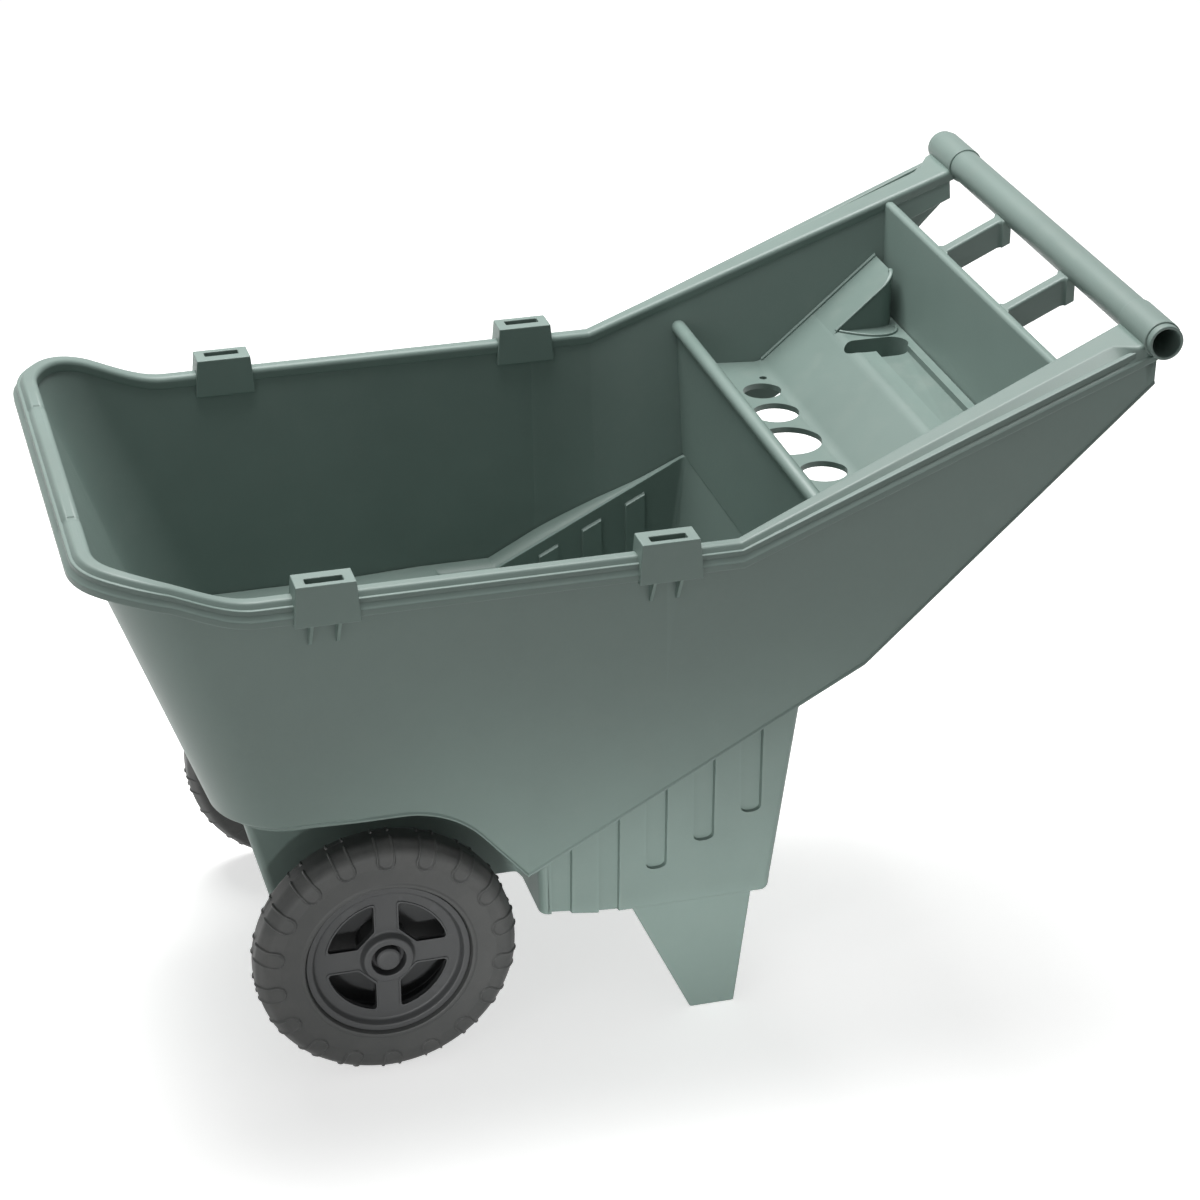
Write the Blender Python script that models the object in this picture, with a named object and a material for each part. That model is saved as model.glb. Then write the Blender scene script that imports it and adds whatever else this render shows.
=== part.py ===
"""Lawn cart: a moulded tub on two free wheels and two legs, with a tool tray and a tube handle.

Metres, +Z up, +X from the nose to the handle. Left is -Y, as someone at the handle sees it.
Shapes are drawn from the nose (x = 0) and one empty moves them all to the middle of the length.
"""

import math

import bmesh
import bpy
from mathutils import Vector

# Running clearances
GAP = 0.0003
RUNNING_GAP = 0.0005
SEAM = 0.0012
BOOLEAN_OVERLAP = 0.0015
FLATNESS = 1e-7

# Rim of the tub, measured at the crown of the bead
RIM_Z = 0.541
NOSE_RISE = 0.036
NOSE_RISE_START_X = 0.035
NOSE_RISE_END_X = 0.155
BEND_X = 0.596
RIM_HALF_WIDTH = 0.250
RIM_WIDTH = 0.024
RIM_CORNER_R = 0.056
RIM_THICKNESS = 0.005
BEAD_DEPTH = 0.012
BEAD_ROUND = 0.006
LIP_DEPTH = 0.021
LIP_WALL = 0.004
BEAD_STEP = 0.002

# Walls of the tub
WALL = 0.004
FOOT_X = 0.118
FOOT_HALF_WIDTH = 0.228
FOOT_CORNER_R = 0.070
SHOULDER_IN = 0.015
SHOULDER_DOWN = 0.012
SHOULDER_FADE = 0.7
SKIRT_Z = 0.289
SKIRT_FLAT_END_X = 0.285
ARCH_R = 0.100
ARCH_SWEEP = math.radians(48)
SKIRT_TIP_X = 0.404
SKIRT_TIP_Z = 0.204
ELBOW_X = 0.725
ELBOW_Z = 0.394
SKIRT_END_DROP = 0.043
HANDLE_FOOT_HALF_WIDTH = 0.262

# Handle: the tube, its rails and the ribs between the windows
HANDLE_X = 0.989
HANDLE_Z = 0.697
TUBE_R = 0.0165
TUBE_WALL = 0.003
TUBE_HALF_LENGTH = 0.281
RAIL_ABOVE_AXIS = 0.004
RAIL_HALF_GAP = 0.2125
EYE_WALL = 0.0015
WINDOW_LENGTH = 0.084
CROSSWALL_X = HANDLE_X - WINDOW_LENGTH
CROSSWALL_THICKNESS = 0.010
CROSSWALL_LEAN = 0.006
CROSSWALL_ROUND = 0.0033
RIB_HALF_PITCH = 0.0805
RIB_THICKNESS = 0.015
RIB_DEPTH = 0.028
CHEEK_RAMP = 0.034
CHEEK_DRAFT = 0.20
CHEEK_BELOW_FLOOR = 0.010
CHEEK_RAIL_DEPTH = 0.030

# Divider, and the tool tray between it and the crosswall
TRAY_LENGTH = 0.217
DIVIDER_X = CROSSWALL_X - TRAY_LENGTH
DIVIDER_THICKNESS = 0.005
DIVIDER_BEAD_R = 0.0075
DIVIDER_BELOW_RIM = 0.028
TRAY_ABOVE_LEDGE = 0.09296
TRAY_SLOPE_START = 0.0815
TRAY_SLOPE_END = 0.142
TRAY_SLOPE = 0.86
TRAY_WALL = 0.0045
CHEEK_AHEAD = 0.088
CHEEK_START_X = DIVIDER_X - CHEEK_AHEAD

# Slotted brackets on the rim
BRACKET_XS = (0.215, 0.527)
BRACKET_LENGTH = 0.060
BRACKET_RISE = 0.015
BRACKET_INSIDE = 0.004
BRACKET_PROUD = 0.003
BRACKET_TAPER = 0.003
SLOT_LENGTH = 0.034
SLOT_WIDTH = 0.010
SLOT_DEPTH = 0.030
STAY_PITCH = 0.025
STAY_THICKNESS = 0.003
STAY_LENGTH = 0.036

# Lower well
LEDGE_Z = 0.306
LEDGE_FOLD_X = 0.480
LEDGE_SLOPE = 0.505
LEDGE_BEHIND_DIVIDER = 0.002
LEDGE_END_X = DIVIDER_X + LEDGE_BEHIND_DIVIDER
WELL_WALL = 0.004
WELL_FLOOR_Z = 0.139
WELL_FRONT_TOP_X = 0.136
WELL_FRONT_FOOT_X = 0.178
BOX_HALF_TOP = 0.156
BOX_HALF_FOOT = 0.120
POD_FRONT_X = 0.412
POD_FRONT_FOOT_X = 0.423
POD_REAR_TOP_X = 0.690
POD_REAR_FOOT_X = 0.655
POD_HALF_TOP = 0.206
POD_HALF_FOOT = 0.200
POD_LIP_Z = 0.128
POD_LIP_WALL = 0.003
BOX_INTO_POD = 0.050
ROOM_HEIGHT = 0.40

# Flutes on the side panels of the well
FLUTE_COUNT = 5
FLUTE_FIRST_X = 0.443
FLUTE_PITCH = 0.0470
FLUTE_WIDTH = 0.022
FLUTE_DEPTH = 0.004
FLUTE_LOWEST_Z = 0.146
FLUTE_RISE = 0.0245
FLUTES_LOW = 2
FLUTE_TOP_DROP = 0.012

# Legs
LEG_TOP_FRONT_X = 0.509
LEG_TOP_REAR_X = 0.638
LEG_FOOT_FRONT_X = 0.576
LEG_FOOT_REAR_X = 0.621
LEG_WALL = 0.004
LEG_DEPTH = 0.048
LEG_FOOT_DEPTH = 0.030
LEG_RECESS = 0.0025

# Wheels and axle
WHEEL_X = 0.269
WHEEL_R = 0.127
TYRE_WIDTH = 0.050
WHEEL_FACE_Y = 0.226
RIM_RING_R = 0.079
RIM_RING_WALL = 0.006
TYRE_SHOULDER = 0.014
TYRE_EDGE = 0.0035
LUG_COUNT = 18
LUG_HEIGHT = 0.0022
LUG_SPREAD = math.radians(9)
LUG_SLOPE = math.radians(1.5)
HUB_DISC_RECESS = 0.011
HUB_DISC_WALL = 0.005
HUB_RING_RECESS = 0.004
HUB_BACK_WALL = 0.003
BOSS_R = 0.0235
BOSS_RECESS = 0.003
BOSS_INNER_Y = 0.1665
CAP_WELL_R = 0.0167
CAP_WELL_DEPTH = 0.0125
WINDOW_INNER_R = 0.031
WINDOW_OUTER_R = 0.059
SPOKE_WIDTH = 0.024
AXLE_R = 0.006
AXLE_HALF_LENGTH = 0.2212
BUSH_WALL = 0.003
BUSH_FLANGE = 0.002
BUSH_FLANGE_R = 0.0125
WASHER_R = 0.0140
WASHER_THICKNESS = 0.0015
NUT_R = 0.0092
NUT_THICKNESS = 0.003
CAP_R = 0.0118
CAP_CROWN_R = 0.0094
CAP_WALL = 0.0018
CAP_REACH = 0.0105
SPACER_R = 0.0095

# Lugs under the well that carry the axle
LUG_PLATE = 0.008
LUG_INNER_Y = 0.050
LUG_R = 0.019

# Features of the tray, measured along it from the divider
STRIP_INNER_Y = 0.150
STRIP_END = 0.205
TOOL_HOLES_REAR = 0.080
TOOL_HOLES = ((0.140, 0.0195), (0.084, 0.0235), (0.015, 0.033), (-0.062, 0.0235), (-0.125, 0.0195))
PEG_HOLE = (0.072, 0.172)
PEG_HOLE_R = 0.004
POCKET_START = (0.153, 0.107)
POCKET_END = (0.187, 0.107)
POCKET_R = 0.021
POCKET_DEPTH = 0.030
TROUGH = 0.182
TROUGH_WIDTH = 0.036
TROUGH_DEPTH = 0.007
TROUGH_LEFT_Y = -0.150
TROUGH_RIGHT_Y = 0.092
TRAY_CUT_HEIGHT = 0.15
TRAY_CUT_MARGIN = 0.020

# Screws, with clearance holes through what they pass
SCREW_R = 0.0021
SCREW_HEAD_R = 0.0048
SCREW_CROWN_R = 0.0038
SCREW_HEAD = 0.0028
SCREW_COVER = 0.0016
TRAY_SCREW_COVER = 0.0034
STUB_HALF = 0.0085
STUB_HEIGHT = 0.014
WELL_SCREW_XS = (0.285, 0.462)
WELL_SCREW_EDGE = 0.0125
LEG_SCREW_XS = (0.545, 0.603)
LEG_SCREW_EDGE = 0.022
TRAY_SCREWS = (0.034, 0.130)
TRAY_SCREW_EDGE = 0.0115

# Roundness
CORNER_STEPS = 5
TUBE_SIDES = 24
HUB_SIDES = 36
RING_SIDES = 16
HOLE_SIDES = 20
SCREW_SIDES = 8
NUT_SIDES = 12
CAP_SIDES = 20
ARC_STEPS = 6
SMOOTH_ANGLE = 35
TYRE_SMOOTH_ANGLE = 25
SCREW_SMOOTH_ANGLE = 40

# Where the tub's wall is cut, as shares of each stretch
NOSE_CUTS = (0.0, 0.5, 1.0)
LEAD_CUTS = (0.15, 0.3, 0.45, 0.7, 1.0)
ARCH_CUTS = (0.35, 0.7)
MIDDLE_CUTS = (0.33, 0.66, 1.0)
BEND_CUT = 0.56
REAR_CUTS = (0.25, 0.5, 0.75, 1.0)

SIDES = (("left", -1), ("right", 1))


def clear_scene():
    """Removes what the startup scene holds."""
    for obj in list(bpy.data.objects):
        bpy.data.objects.remove(obj, do_unlink=True)


def make_material(name, colour, roughness, metallic=0.0):
    """A plain surface with one colour, as the source keeps it."""
    material = bpy.data.materials.new(name)
    material.use_nodes = True
    shader = material.node_tree.nodes["Principled BSDF"]
    shader.inputs["Base Color"].default_value = (*colour, 1.0)
    shader.inputs["Roughness"].default_value = roughness
    shader.inputs["Metallic"].default_value = metallic
    return material


def finish_mesh(bm, name):
    """Closes a bmesh into mesh data whose faces point out."""
    bmesh.ops.recalc_face_normals(bm, faces=bm.faces)
    mesh = bpy.data.meshes.new(name)
    bm.to_mesh(mesh)
    bm.free()
    return mesh


def add_object(name, mesh, material=None, parent=None):
    """Links a mesh into the scene under its name."""
    obj = bpy.data.objects.new(name, mesh)
    bpy.context.scene.collection.objects.link(obj)
    if material:
        mesh.materials.clear()
        mesh.materials.append(material)
    obj.parent = parent
    return obj


def helper(name, mesh, parent):
    """A shape that only cuts or joins another one."""
    obj = add_object(name, mesh, parent=parent)
    obj.hide_render = True
    obj.display_type = "WIRE"
    return obj


def combine(target, tool, operation):
    """Adds one exact Boolean of a helper to an object."""
    modifier = target.modifiers.new(tool.name, "BOOLEAN")
    modifier.operation = operation
    modifier.solver = "EXACT"
    modifier.object = tool


def split_twisted(bm):
    """Splits the four-sided faces that aren't flat, which an exact Boolean needs."""
    bm.normal_update()
    twisted = []
    for face in bm.faces:
        corner = face.verts[0].co
        if any(abs((vert.co - corner).dot(face.normal)) > FLATNESS for vert in face.verts):
            twisted.append(face)
    bmesh.ops.triangulate(bm, faces=twisted)


def loft(rings):
    """A closed solid through rings of equally many points, capped at both ends."""
    bm = bmesh.new()
    rows = [[bm.verts.new(point) for point in ring] for ring in rings]
    count = len(rings[0])
    for row, following in zip(rows, rows[1:]):
        for i in range(count):
            j = (i + 1) % count
            bm.faces.new((row[i], row[j], following[j], following[i]))
    bm.faces.new(list(reversed(rows[0])))
    bm.faces.new(rows[-1])
    split_twisted(bm)
    return finish_mesh(bm, "loft")


def prism(outline, place, low, high):
    """An outline of (a, b) pairs pushed from low to high; place(a, b, d) gives the point."""
    return loft([[place(a, b, low) for a, b in outline], [place(a, b, high) for a, b in outline]])


def along_y(x, z, y):
    """A point of a profile seen from the side."""
    return Vector((x, y, z))


def along_z(x, y, z):
    """A point of a profile seen from above."""
    return Vector((x, y, z))


def along_x(y, z, x):
    """A point of a profile seen from the nose."""
    return Vector((x, y, z))


def box(low, high):
    """A closed box between two corners."""
    outline = ((low[0], low[1]), (high[0], low[1]), (high[0], high[1]), (low[0], high[1]))
    return prism(outline, along_z, low[2], high[2])


def circle(centre, radius, sides, start=0.0):
    """Points round a circle in a plane of (a, b)."""
    turns = [start + 2 * math.pi * i / sides for i in range(sides)]
    return [(centre[0] + radius * math.cos(t), centre[1] + radius * math.sin(t)) for t in turns]


def y_cylinder(x, z, radius, y_low, y_high, sides):
    """A cylinder along Y."""
    return prism(circle((x, z), radius, sides), along_y, y_low, y_high)


def lathe_y(profile, sides, swell=None):
    """A ring turned about the Y axis from closed (radius, y) points.

    swell(step, radius, y) may change the radius of a point at a step round the ring.
    """
    bm = bmesh.new()
    rows = []
    for step in range(sides):
        angle = 2 * math.pi * step / sides - math.pi / 2
        row = []
        for radius, y in profile:
            grown = swell(step, radius, y) if swell else radius
            row.append(bm.verts.new((grown * math.cos(angle), y, grown * math.sin(angle))))
        rows.append(row)
    count = len(profile)
    for step in range(sides):
        row, following = rows[step], rows[(step + 1) % sides]
        for i in range(count):
            j = (i + 1) % count
            bm.faces.new((row[i], row[j], following[j], following[i]))
    return finish_mesh(bm, "turned")


def arc(centre, radius, start, sweep, steps):
    """Points on an arc, both ends included."""
    turns = [start + sweep * i / steps for i in range(steps + 1)]
    return [(centre[0] + radius * math.cos(t), centre[1] + radius * math.sin(t)) for t in turns]


def capsule(start, end, radius):
    """Points round a slot with round ends between two centres."""
    turn = math.atan2(end[1] - start[1], end[0] - start[0])
    points = arc(end, radius, turn - math.pi / 2, math.pi, ARC_STEPS)
    return points + arc(start, radius, turn + math.pi / 2, math.pi, ARC_STEPS)


def smooth(mesh, degrees=SMOOTH_ANGLE):
    """Shades a round piece smooth, with its sharp edges kept."""
    mesh.shade_smooth()
    mesh.set_sharp_from_angle(angle=math.radians(degrees))
    return mesh


# The rules that several pieces share


def ease(share):
    """A soft step from 0 to 1."""
    share = min(max(share, 0.0), 1.0)
    return share * share * (3 - 2 * share)


def rail_slope():
    """Rise of the rim per metre behind the bend."""
    return (HANDLE_Z + RAIL_ABOVE_AXIS - RIM_Z) / (HANDLE_X - BEND_X)


def rim_top(x):
    """Height of the rim's crown at x."""
    if x > BEND_X:
        return RIM_Z + (x - BEND_X) * rail_slope()
    fall = ease((x - NOSE_RISE_START_X) / (NOSE_RISE_END_X - NOSE_RISE_START_X))
    return RIM_Z + NOSE_RISE * (1 - fall)


def rim_half(x):
    """Half the clear width between the rims at x, behind the nose corners."""
    share = max(0.0, (x - BEND_X) / (HANDLE_X - BEND_X))
    return RIM_HALF_WIDTH + (RAIL_HALF_GAP - RIM_HALF_WIDTH) * share


def outer_half():
    """Half the overall width over the rim's lip."""
    return RIM_HALF_WIDTH + RIM_WIDTH


def skirt_z(x):
    """Height of the skirt's lower edge at x."""
    if x <= SKIRT_FLAT_END_X:
        return SKIRT_Z
    arch_end_x = SKIRT_FLAT_END_X + ARCH_R * math.sin(ARCH_SWEEP)
    if x <= arch_end_x:
        turn = math.asin((x - SKIRT_FLAT_END_X) / ARCH_R)
        return SKIRT_Z - ARCH_R * (1 - math.cos(turn))
    arch_end_z = SKIRT_Z - ARCH_R * (1 - math.cos(ARCH_SWEEP))
    if x <= SKIRT_TIP_X:
        share = (x - arch_end_x) / (SKIRT_TIP_X - arch_end_x)
        return arch_end_z + (SKIRT_TIP_Z - arch_end_z) * share
    if x <= ELBOW_X:
        share = (x - SKIRT_TIP_X) / (ELBOW_X - SKIRT_TIP_X)
        return SKIRT_TIP_Z + (ELBOW_Z - SKIRT_TIP_Z) * share
    share = (x - ELBOW_X) / (HANDLE_X - ELBOW_X)
    return ELBOW_Z + (HANDLE_Z - SKIRT_END_DROP - ELBOW_Z) * share


def skirt_half(x):
    """Half the width over the skirt's lower edge at x."""
    share = max(0.0, (x - SKIRT_TIP_X) / (HANDLE_X - SKIRT_TIP_X))
    return FOOT_HALF_WIDTH + (HANDLE_FOOT_HALF_WIDTH - FOOT_HALF_WIDTH) * share


def skin_offset(x):
    """How far the wall stands outside the rim's inner edge at x."""
    share = max(0.0, (x - BEND_X) / (HANDLE_X - BEND_X))
    handle_offset = outer_half() - LIP_WALL - 2 * WALL - BEAD_STEP - RAIL_HALF_GAP
    return BEAD_STEP + (handle_offset - BEAD_STEP) * share


def ledge_z(x):
    """Top of the ledge that runs round inside the tub, at x."""
    return LEDGE_Z + max(0.0, x - LEDGE_FOLD_X) * LEDGE_SLOPE


def tray_slope_z(x):
    """Height at x of the tray's sloping plane, which the strip carries on."""
    return ledge_z(DIVIDER_X) + TRAY_ABOVE_LEDGE + (x - DIVIDER_X - TRAY_SLOPE_START) * TRAY_SLOPE


def tray_z(x):
    """Top of the tray's floor at x: a level shelf, the slope, and a level rear."""
    behind = min(max(x - DIVIDER_X, TRAY_SLOPE_START), TRAY_SLOPE_END)
    return tray_slope_z(DIVIDER_X + behind)


def tray_points(pairs):
    """Places (x, y) from pairs of a distance behind the divider and one across the tray."""
    return [(DIVIDER_X + behind, y) for behind, y in pairs]


def skin_y(x, z):
    """Half the width inside the tub's side wall at x and height z."""
    top, low = rim_top(x) - BEAD_DEPTH, skirt_z(x)
    inner_top = rim_half(x) + skin_offset(x)
    inner_low = skirt_half(x) - WALL
    return inner_low + (inner_top - inner_low) * (z - low) / (top - low)


def cheek_y(x, z):
    """Half the width inside the tray's cheeks at x and height z."""
    return rim_half(x) + BEAD_STEP / 2 - (rim_top(x) - BEAD_DEPTH - z) * CHEEK_DRAFT


def inside_y(x, z):
    """Half the clear width inside the tub at x and height z, off the ramps of the cheeks."""
    return cheek_y(x, z) if x >= CHEEK_START_X else skin_y(x, z)


class Station:
    """One place round the rim: the rim's inner edge, its outward way, and the wall's foot."""

    def __init__(self, edge, way, width, skin, top, foot, shoulder):
        self.edge, self.way, self.width, self.skin = edge, way, width, skin
        self.top, self.foot, self.shoulder = top, foot, shoulder

    def at(self, out, height):
        """A point out from the rim's inner edge, at a height."""
        return Vector((self.edge[0] + self.way[0] * out, self.edge[1] + self.way[1] * out, height))

    def low(self, inwards, height):
        """A point in from the wall's foot, at a height."""
        return Vector((self.foot[0] - self.way[0] * inwards, self.foot[1] - self.way[1] * inwards, height))

    def section(self):
        """The wall and its rim, cut through at this station."""
        top, width = self.top, self.width
        foot_z = self.foot[2]
        turn_in = SHOULDER_IN * self.shoulder
        turn_down = WALL + (SHOULDER_DOWN - WALL) * self.shoulder
        return [
            self.at(width, top - LIP_DEPTH),
            self.at(width, top - BEAD_ROUND),
            self.at(width - BEAD_ROUND, top),
            self.at(BEAD_ROUND, top),
            self.at(0, top - BEAD_ROUND),
            self.at(0, top - BEAD_DEPTH),
            self.at(self.skin, top - BEAD_DEPTH),
            self.low(WALL, foot_z + BEAD_STEP),
            self.low(turn_in + WALL, foot_z - turn_down + WALL),
            self.low(turn_in + WALL, foot_z - turn_down),
            self.low(turn_in, foot_z - turn_down),
            self.low(0, foot_z),
            self.at(self.skin + WALL, top - RIM_THICKNESS),
            self.at(width - LIP_WALL, top - RIM_THICKNESS),
            self.at(width - LIP_WALL, top - LIP_DEPTH),
        ]


def half_stations():
    """Stations of the right half of the rim, from the middle of the nose to the handle."""
    stations = []
    straight = RIM_HALF_WIDTH - RIM_CORNER_R
    foot_straight = FOOT_HALF_WIDTH - FOOT_CORNER_R
    for share in NOSE_CUTS:
        edge = (RIM_WIDTH, straight * share)
        foot = (FOOT_X, foot_straight * share, SKIRT_Z)
        top = rim_top(RIM_WIDTH)
        stations.append(Station(edge, (-1.0, 0.0), RIM_WIDTH, BEAD_STEP, top, foot, 1.0))
    for step in range(1, CORNER_STEPS + 1):
        turn = math.pi / 2 * step / CORNER_STEPS
        out, side = 1 - math.cos(turn), math.sin(turn)
        edge = (RIM_WIDTH + RIM_CORNER_R * out, straight + RIM_CORNER_R * side)
        foot = (FOOT_X + FOOT_CORNER_R * out, foot_straight + FOOT_CORNER_R * side, SKIRT_Z)
        way = (-math.cos(turn), math.sin(turn))
        stations.append(Station(edge, way, RIM_WIDTH, BEAD_STEP, rim_top(edge[0]), foot, 1.0))
    stations.extend(side_station(x) for x in side_places())
    return stations


def side_places():
    """Where the side wall is cut, from behind the nose corner to the handle."""
    corner = RIM_WIDTH + RIM_CORNER_R
    arch_end = SKIRT_FLAT_END_X + ARCH_R * math.sin(ARCH_SWEEP)
    lead = [corner + (SKIRT_FLAT_END_X - corner) * share for share in LEAD_CUTS]
    arch = [SKIRT_FLAT_END_X + ARCH_R * math.sin(ARCH_SWEEP * share) for share in ARCH_CUTS]
    middle = [SKIRT_TIP_X + (BEND_X - SKIRT_TIP_X) * share for share in MIDDLE_CUTS]
    rear = [ELBOW_X + (HANDLE_X - ELBOW_X) * share for share in REAR_CUTS]
    bend_cut = BEND_X + (ELBOW_X - BEND_X) * BEND_CUT
    return lead + arch + [arch_end, SKIRT_TIP_X] + middle + [bend_cut, ELBOW_X] + rear


def side_station(x):
    """A station on the side wall; near the nose its foot lies further back than its top."""
    corner = RIM_WIDTH + RIM_CORNER_R
    foot_corner = FOOT_X + FOOT_CORNER_R
    foot_x = x
    shoulder = 0.0
    if x < SKIRT_FLAT_END_X:
        share = (x - corner) / (SKIRT_FLAT_END_X - corner)
        foot_x = foot_corner + (SKIRT_FLAT_END_X - foot_corner) * share
        shoulder = 1 - ease(share / SHOULDER_FADE)
    foot = (foot_x, skirt_half(foot_x), skirt_z(foot_x))
    width = outer_half() - rim_half(x)
    return Station((x, rim_half(x)), (0.0, 1.0), width, skin_offset(x), rim_top(x), foot, shoulder)


def mirrored(point):
    """The point on the other side of the cart."""
    return Vector((point[0], -point[1], point[2]))


def tub_shell():
    """The walls and the rim in one sweep from the left rail round the nose to the right rail."""
    right = [station.section() for station in half_stations()]
    left = [[mirrored(point) for point in ring] for ring in reversed(right[1:])]
    return loft(left + right)


def cheek(side):
    """The inner wall of one rail, beside the tray and the windows, with a ramp at its front."""
    ramp_x = CHEEK_START_X - CHEEK_RAMP
    rail_end_x = HANDLE_X - TUBE_R
    places = [
        (ramp_x, ledge_z(ramp_x) - CHEEK_BELOW_FLOOR),
        (CHEEK_START_X, ledge_z(CHEEK_START_X) - CHEEK_BELOW_FLOOR),
        (DIVIDER_X, ledge_z(DIVIDER_X) - CHEEK_BELOW_FLOOR),
        (CROSSWALL_X, tray_z(CROSSWALL_X) - CHEEK_BELOW_FLOOR),
        (CROSSWALL_X + CROSSWALL_THICKNESS, rim_top(CROSSWALL_X) - CHEEK_RAIL_DEPTH),
        (rail_end_x, rim_top(rail_end_x) - CHEEK_RAIL_DEPTH),
    ]
    rings = []
    for x, low in places:
        high = rim_top(x) - RIM_THICKNESS + BOOLEAN_OVERLAP
        sunk, thick = (WALL / 4, WALL / 2) if x == ramp_x else (0.0, WALL)
        near_low, near_high = (inside_y(x, z) + sunk for z in (low, high))
        rings.append([
            Vector((x, side * near_high, high)),
            Vector((x, side * (near_high + thick), high)),
            Vector((x, side * (near_low + thick), low)),
            Vector((x, side * near_low, low)),
        ])
    return loft(rings)


def between_cheeks(inset):
    """How a profile of (x, z) points is placed across the tray, short of each cheek's face."""
    return lambda x, z, side: Vector((x, side * (cheek_y(x, z) - inset), z))


def crosswall():
    """The wall between the tray and the windows, with a rounded top."""
    low = tray_z(CROSSWALL_X) - CHEEK_BELOW_FLOOR
    high = rim_top(CROSSWALL_X) - BEAD_ROUND / 2
    back = CROSSWALL_X + CROSSWALL_THICKNESS
    profile = [
        (CROSSWALL_X - CROSSWALL_LEAN, low),
        (back - CROSSWALL_LEAN, low),
        (back, high - CROSSWALL_ROUND),
        (back - CROSSWALL_ROUND, high),
        (CROSSWALL_X + CROSSWALL_ROUND, high),
        (CROSSWALL_X, high - CROSSWALL_ROUND),
    ]
    return prism(profile, between_cheeks(-WALL / 2), -1, 1)


def handle_rib(y):
    """One rib from the crosswall to the tube, between two windows."""
    start = CROSSWALL_X + CROSSWALL_THICKNESS / 2
    start_top = rim_top(CROSSWALL_X) - BEAD_ROUND - BOOLEAN_OVERLAP
    outline = [
        (start, start_top),
        (HANDLE_X, HANDLE_Z),
        (HANDLE_X, HANDLE_Z - RIB_DEPTH / 2),
        (HANDLE_X - TUBE_R - WALL, HANDLE_Z - RIB_DEPTH),
        (start, start_top - RIB_DEPTH),
    ]
    return prism(outline, along_y, y - RIB_THICKNESS / 2, y + RIB_THICKNESS / 2)


def rail_eye(side):
    """The ring that holds the tube at the end of a rail."""
    span = sorted((side * (RAIL_HALF_GAP + BEAD_STEP), side * (outer_half() - BEAD_STEP)))
    return y_cylinder(HANDLE_X, HANDLE_Z, TUBE_R + EYE_WALL, span[0], span[1], TUBE_SIDES)


def bracket_body(x, side):
    """A tapered block over the rim that will take a stake."""
    inner = side * (RIM_HALF_WIDTH - BRACKET_INSIDE)
    outer = side * (outer_half() + BRACKET_PROUD)
    top = rim_top(x) + BRACKET_RISE
    low = rim_top(x) - LIP_DEPTH - BRACKET_PROUD
    rings = []
    for z, taper in ((low, 0.0), (top, BRACKET_TAPER)):
        half = BRACKET_LENGTH / 2 - taper
        in_y, out_y = inner + side * taper / 2, outer - side * taper / 2
        rings.append([
            Vector((x - half, in_y, z)),
            Vector((x + half, in_y, z)),
            Vector((x + half, out_y, z)),
            Vector((x - half, out_y, z)),
        ])
    return loft(rings)


def bracket_slot(x, side):
    """The hole in the top of a bracket."""
    middle = side * (RIM_HALF_WIDTH + RIM_WIDTH / 2 + BEAD_STEP)
    top = rim_top(x) + BRACKET_RISE
    low = (x - SLOT_LENGTH / 2, middle - SLOT_WIDTH / 2, top - SLOT_DEPTH)
    high = (x + SLOT_LENGTH / 2, middle + SLOT_WIDTH / 2, top + BOOLEAN_OVERLAP)
    return box(low, high)


def bracket_stay(x, side):
    """A thin upright rib under a bracket."""
    high = rim_top(x) - RIM_THICKNESS - BOOLEAN_OVERLAP
    low = high - STAY_LENGTH
    inner = skin_y(x, low) + WALL / 2
    outline = [
        (side * inner, low),
        (side * (inner + WALL), low + WALL / 2),
        (side * (outer_half() - LIP_WALL / 2), rim_top(x) - LIP_DEPTH + BOOLEAN_OVERLAP),
        (side * (outer_half() - LIP_WALL / 2), high),
        (side * (skin_y(x, high) + WALL / 2), high),
    ]
    return prism(outline, along_x, x - STAY_THICKNESS / 2, x + STAY_THICKNESS / 2)


def well_screw_y(x, side):
    """Where a screw of the well's flange stands across the cart."""
    return side * (skin_y(x, LEDGE_Z) - WELL_SCREW_EDGE)


def leg_screw_y(side):
    """Where a leg's screw stands across the cart."""
    return side * (leg_outer_y() - LEG_SCREW_EDGE)


def tray_screw_y(x, side):
    """Where a screw of the tray stands across the cart."""
    return side * (cheek_y(x, tray_z(x)) - TRAY_SCREW_EDGE)


def tray_drop():
    """The tray's wall measured straight down through its sloping floor."""
    return TRAY_WALL * math.sqrt(1 + TRAY_SLOPE * TRAY_SLOPE)


def screw_places():
    """Name, x, y, seat and tip of every screw; all run upwards."""
    for label, side in SIDES:
        for number, x in enumerate(WELL_SCREW_XS, 1):
            top = ledge_z(x)
            seat = top - WELL_WALL - GAP - STUB_HEIGHT
            yield f"well_screw_{label}_{number}", x, well_screw_y(x, side), seat, top - SCREW_COVER
        for number, behind in enumerate(TRAY_SCREWS, 1):
            x = DIVIDER_X + behind
            seat = tray_z(x - STUB_HALF) - tray_drop() - STUB_HEIGHT
            tip = tray_z(x) - TRAY_SCREW_COVER
            yield f"tray_screw_{label}_{number}", x, tray_screw_y(x, side), seat, tip
        for number, x in enumerate(LEG_SCREW_XS, 1):
            seat = WELL_FLOOR_Z - GAP - LEG_WALL
            tip = WELL_FLOOR_Z + WELL_WALL - SCREW_COVER
            yield f"leg_screw_{label}_{number}", x, leg_screw_y(side), seat, tip


def drill(target, family, frame):
    """Cuts the holes of one family of screws into a piece."""
    for name, x, y, seat, tip in screw_places():
        if name.startswith(family):
            hole = prism(circle((x, y), SCREW_R + GAP, SCREW_SIDES), along_z, seat - GAP, tip)
            combine(target, helper(f"cut_{target.name}_{name}", hole, frame), "DIFFERENCE")


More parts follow.
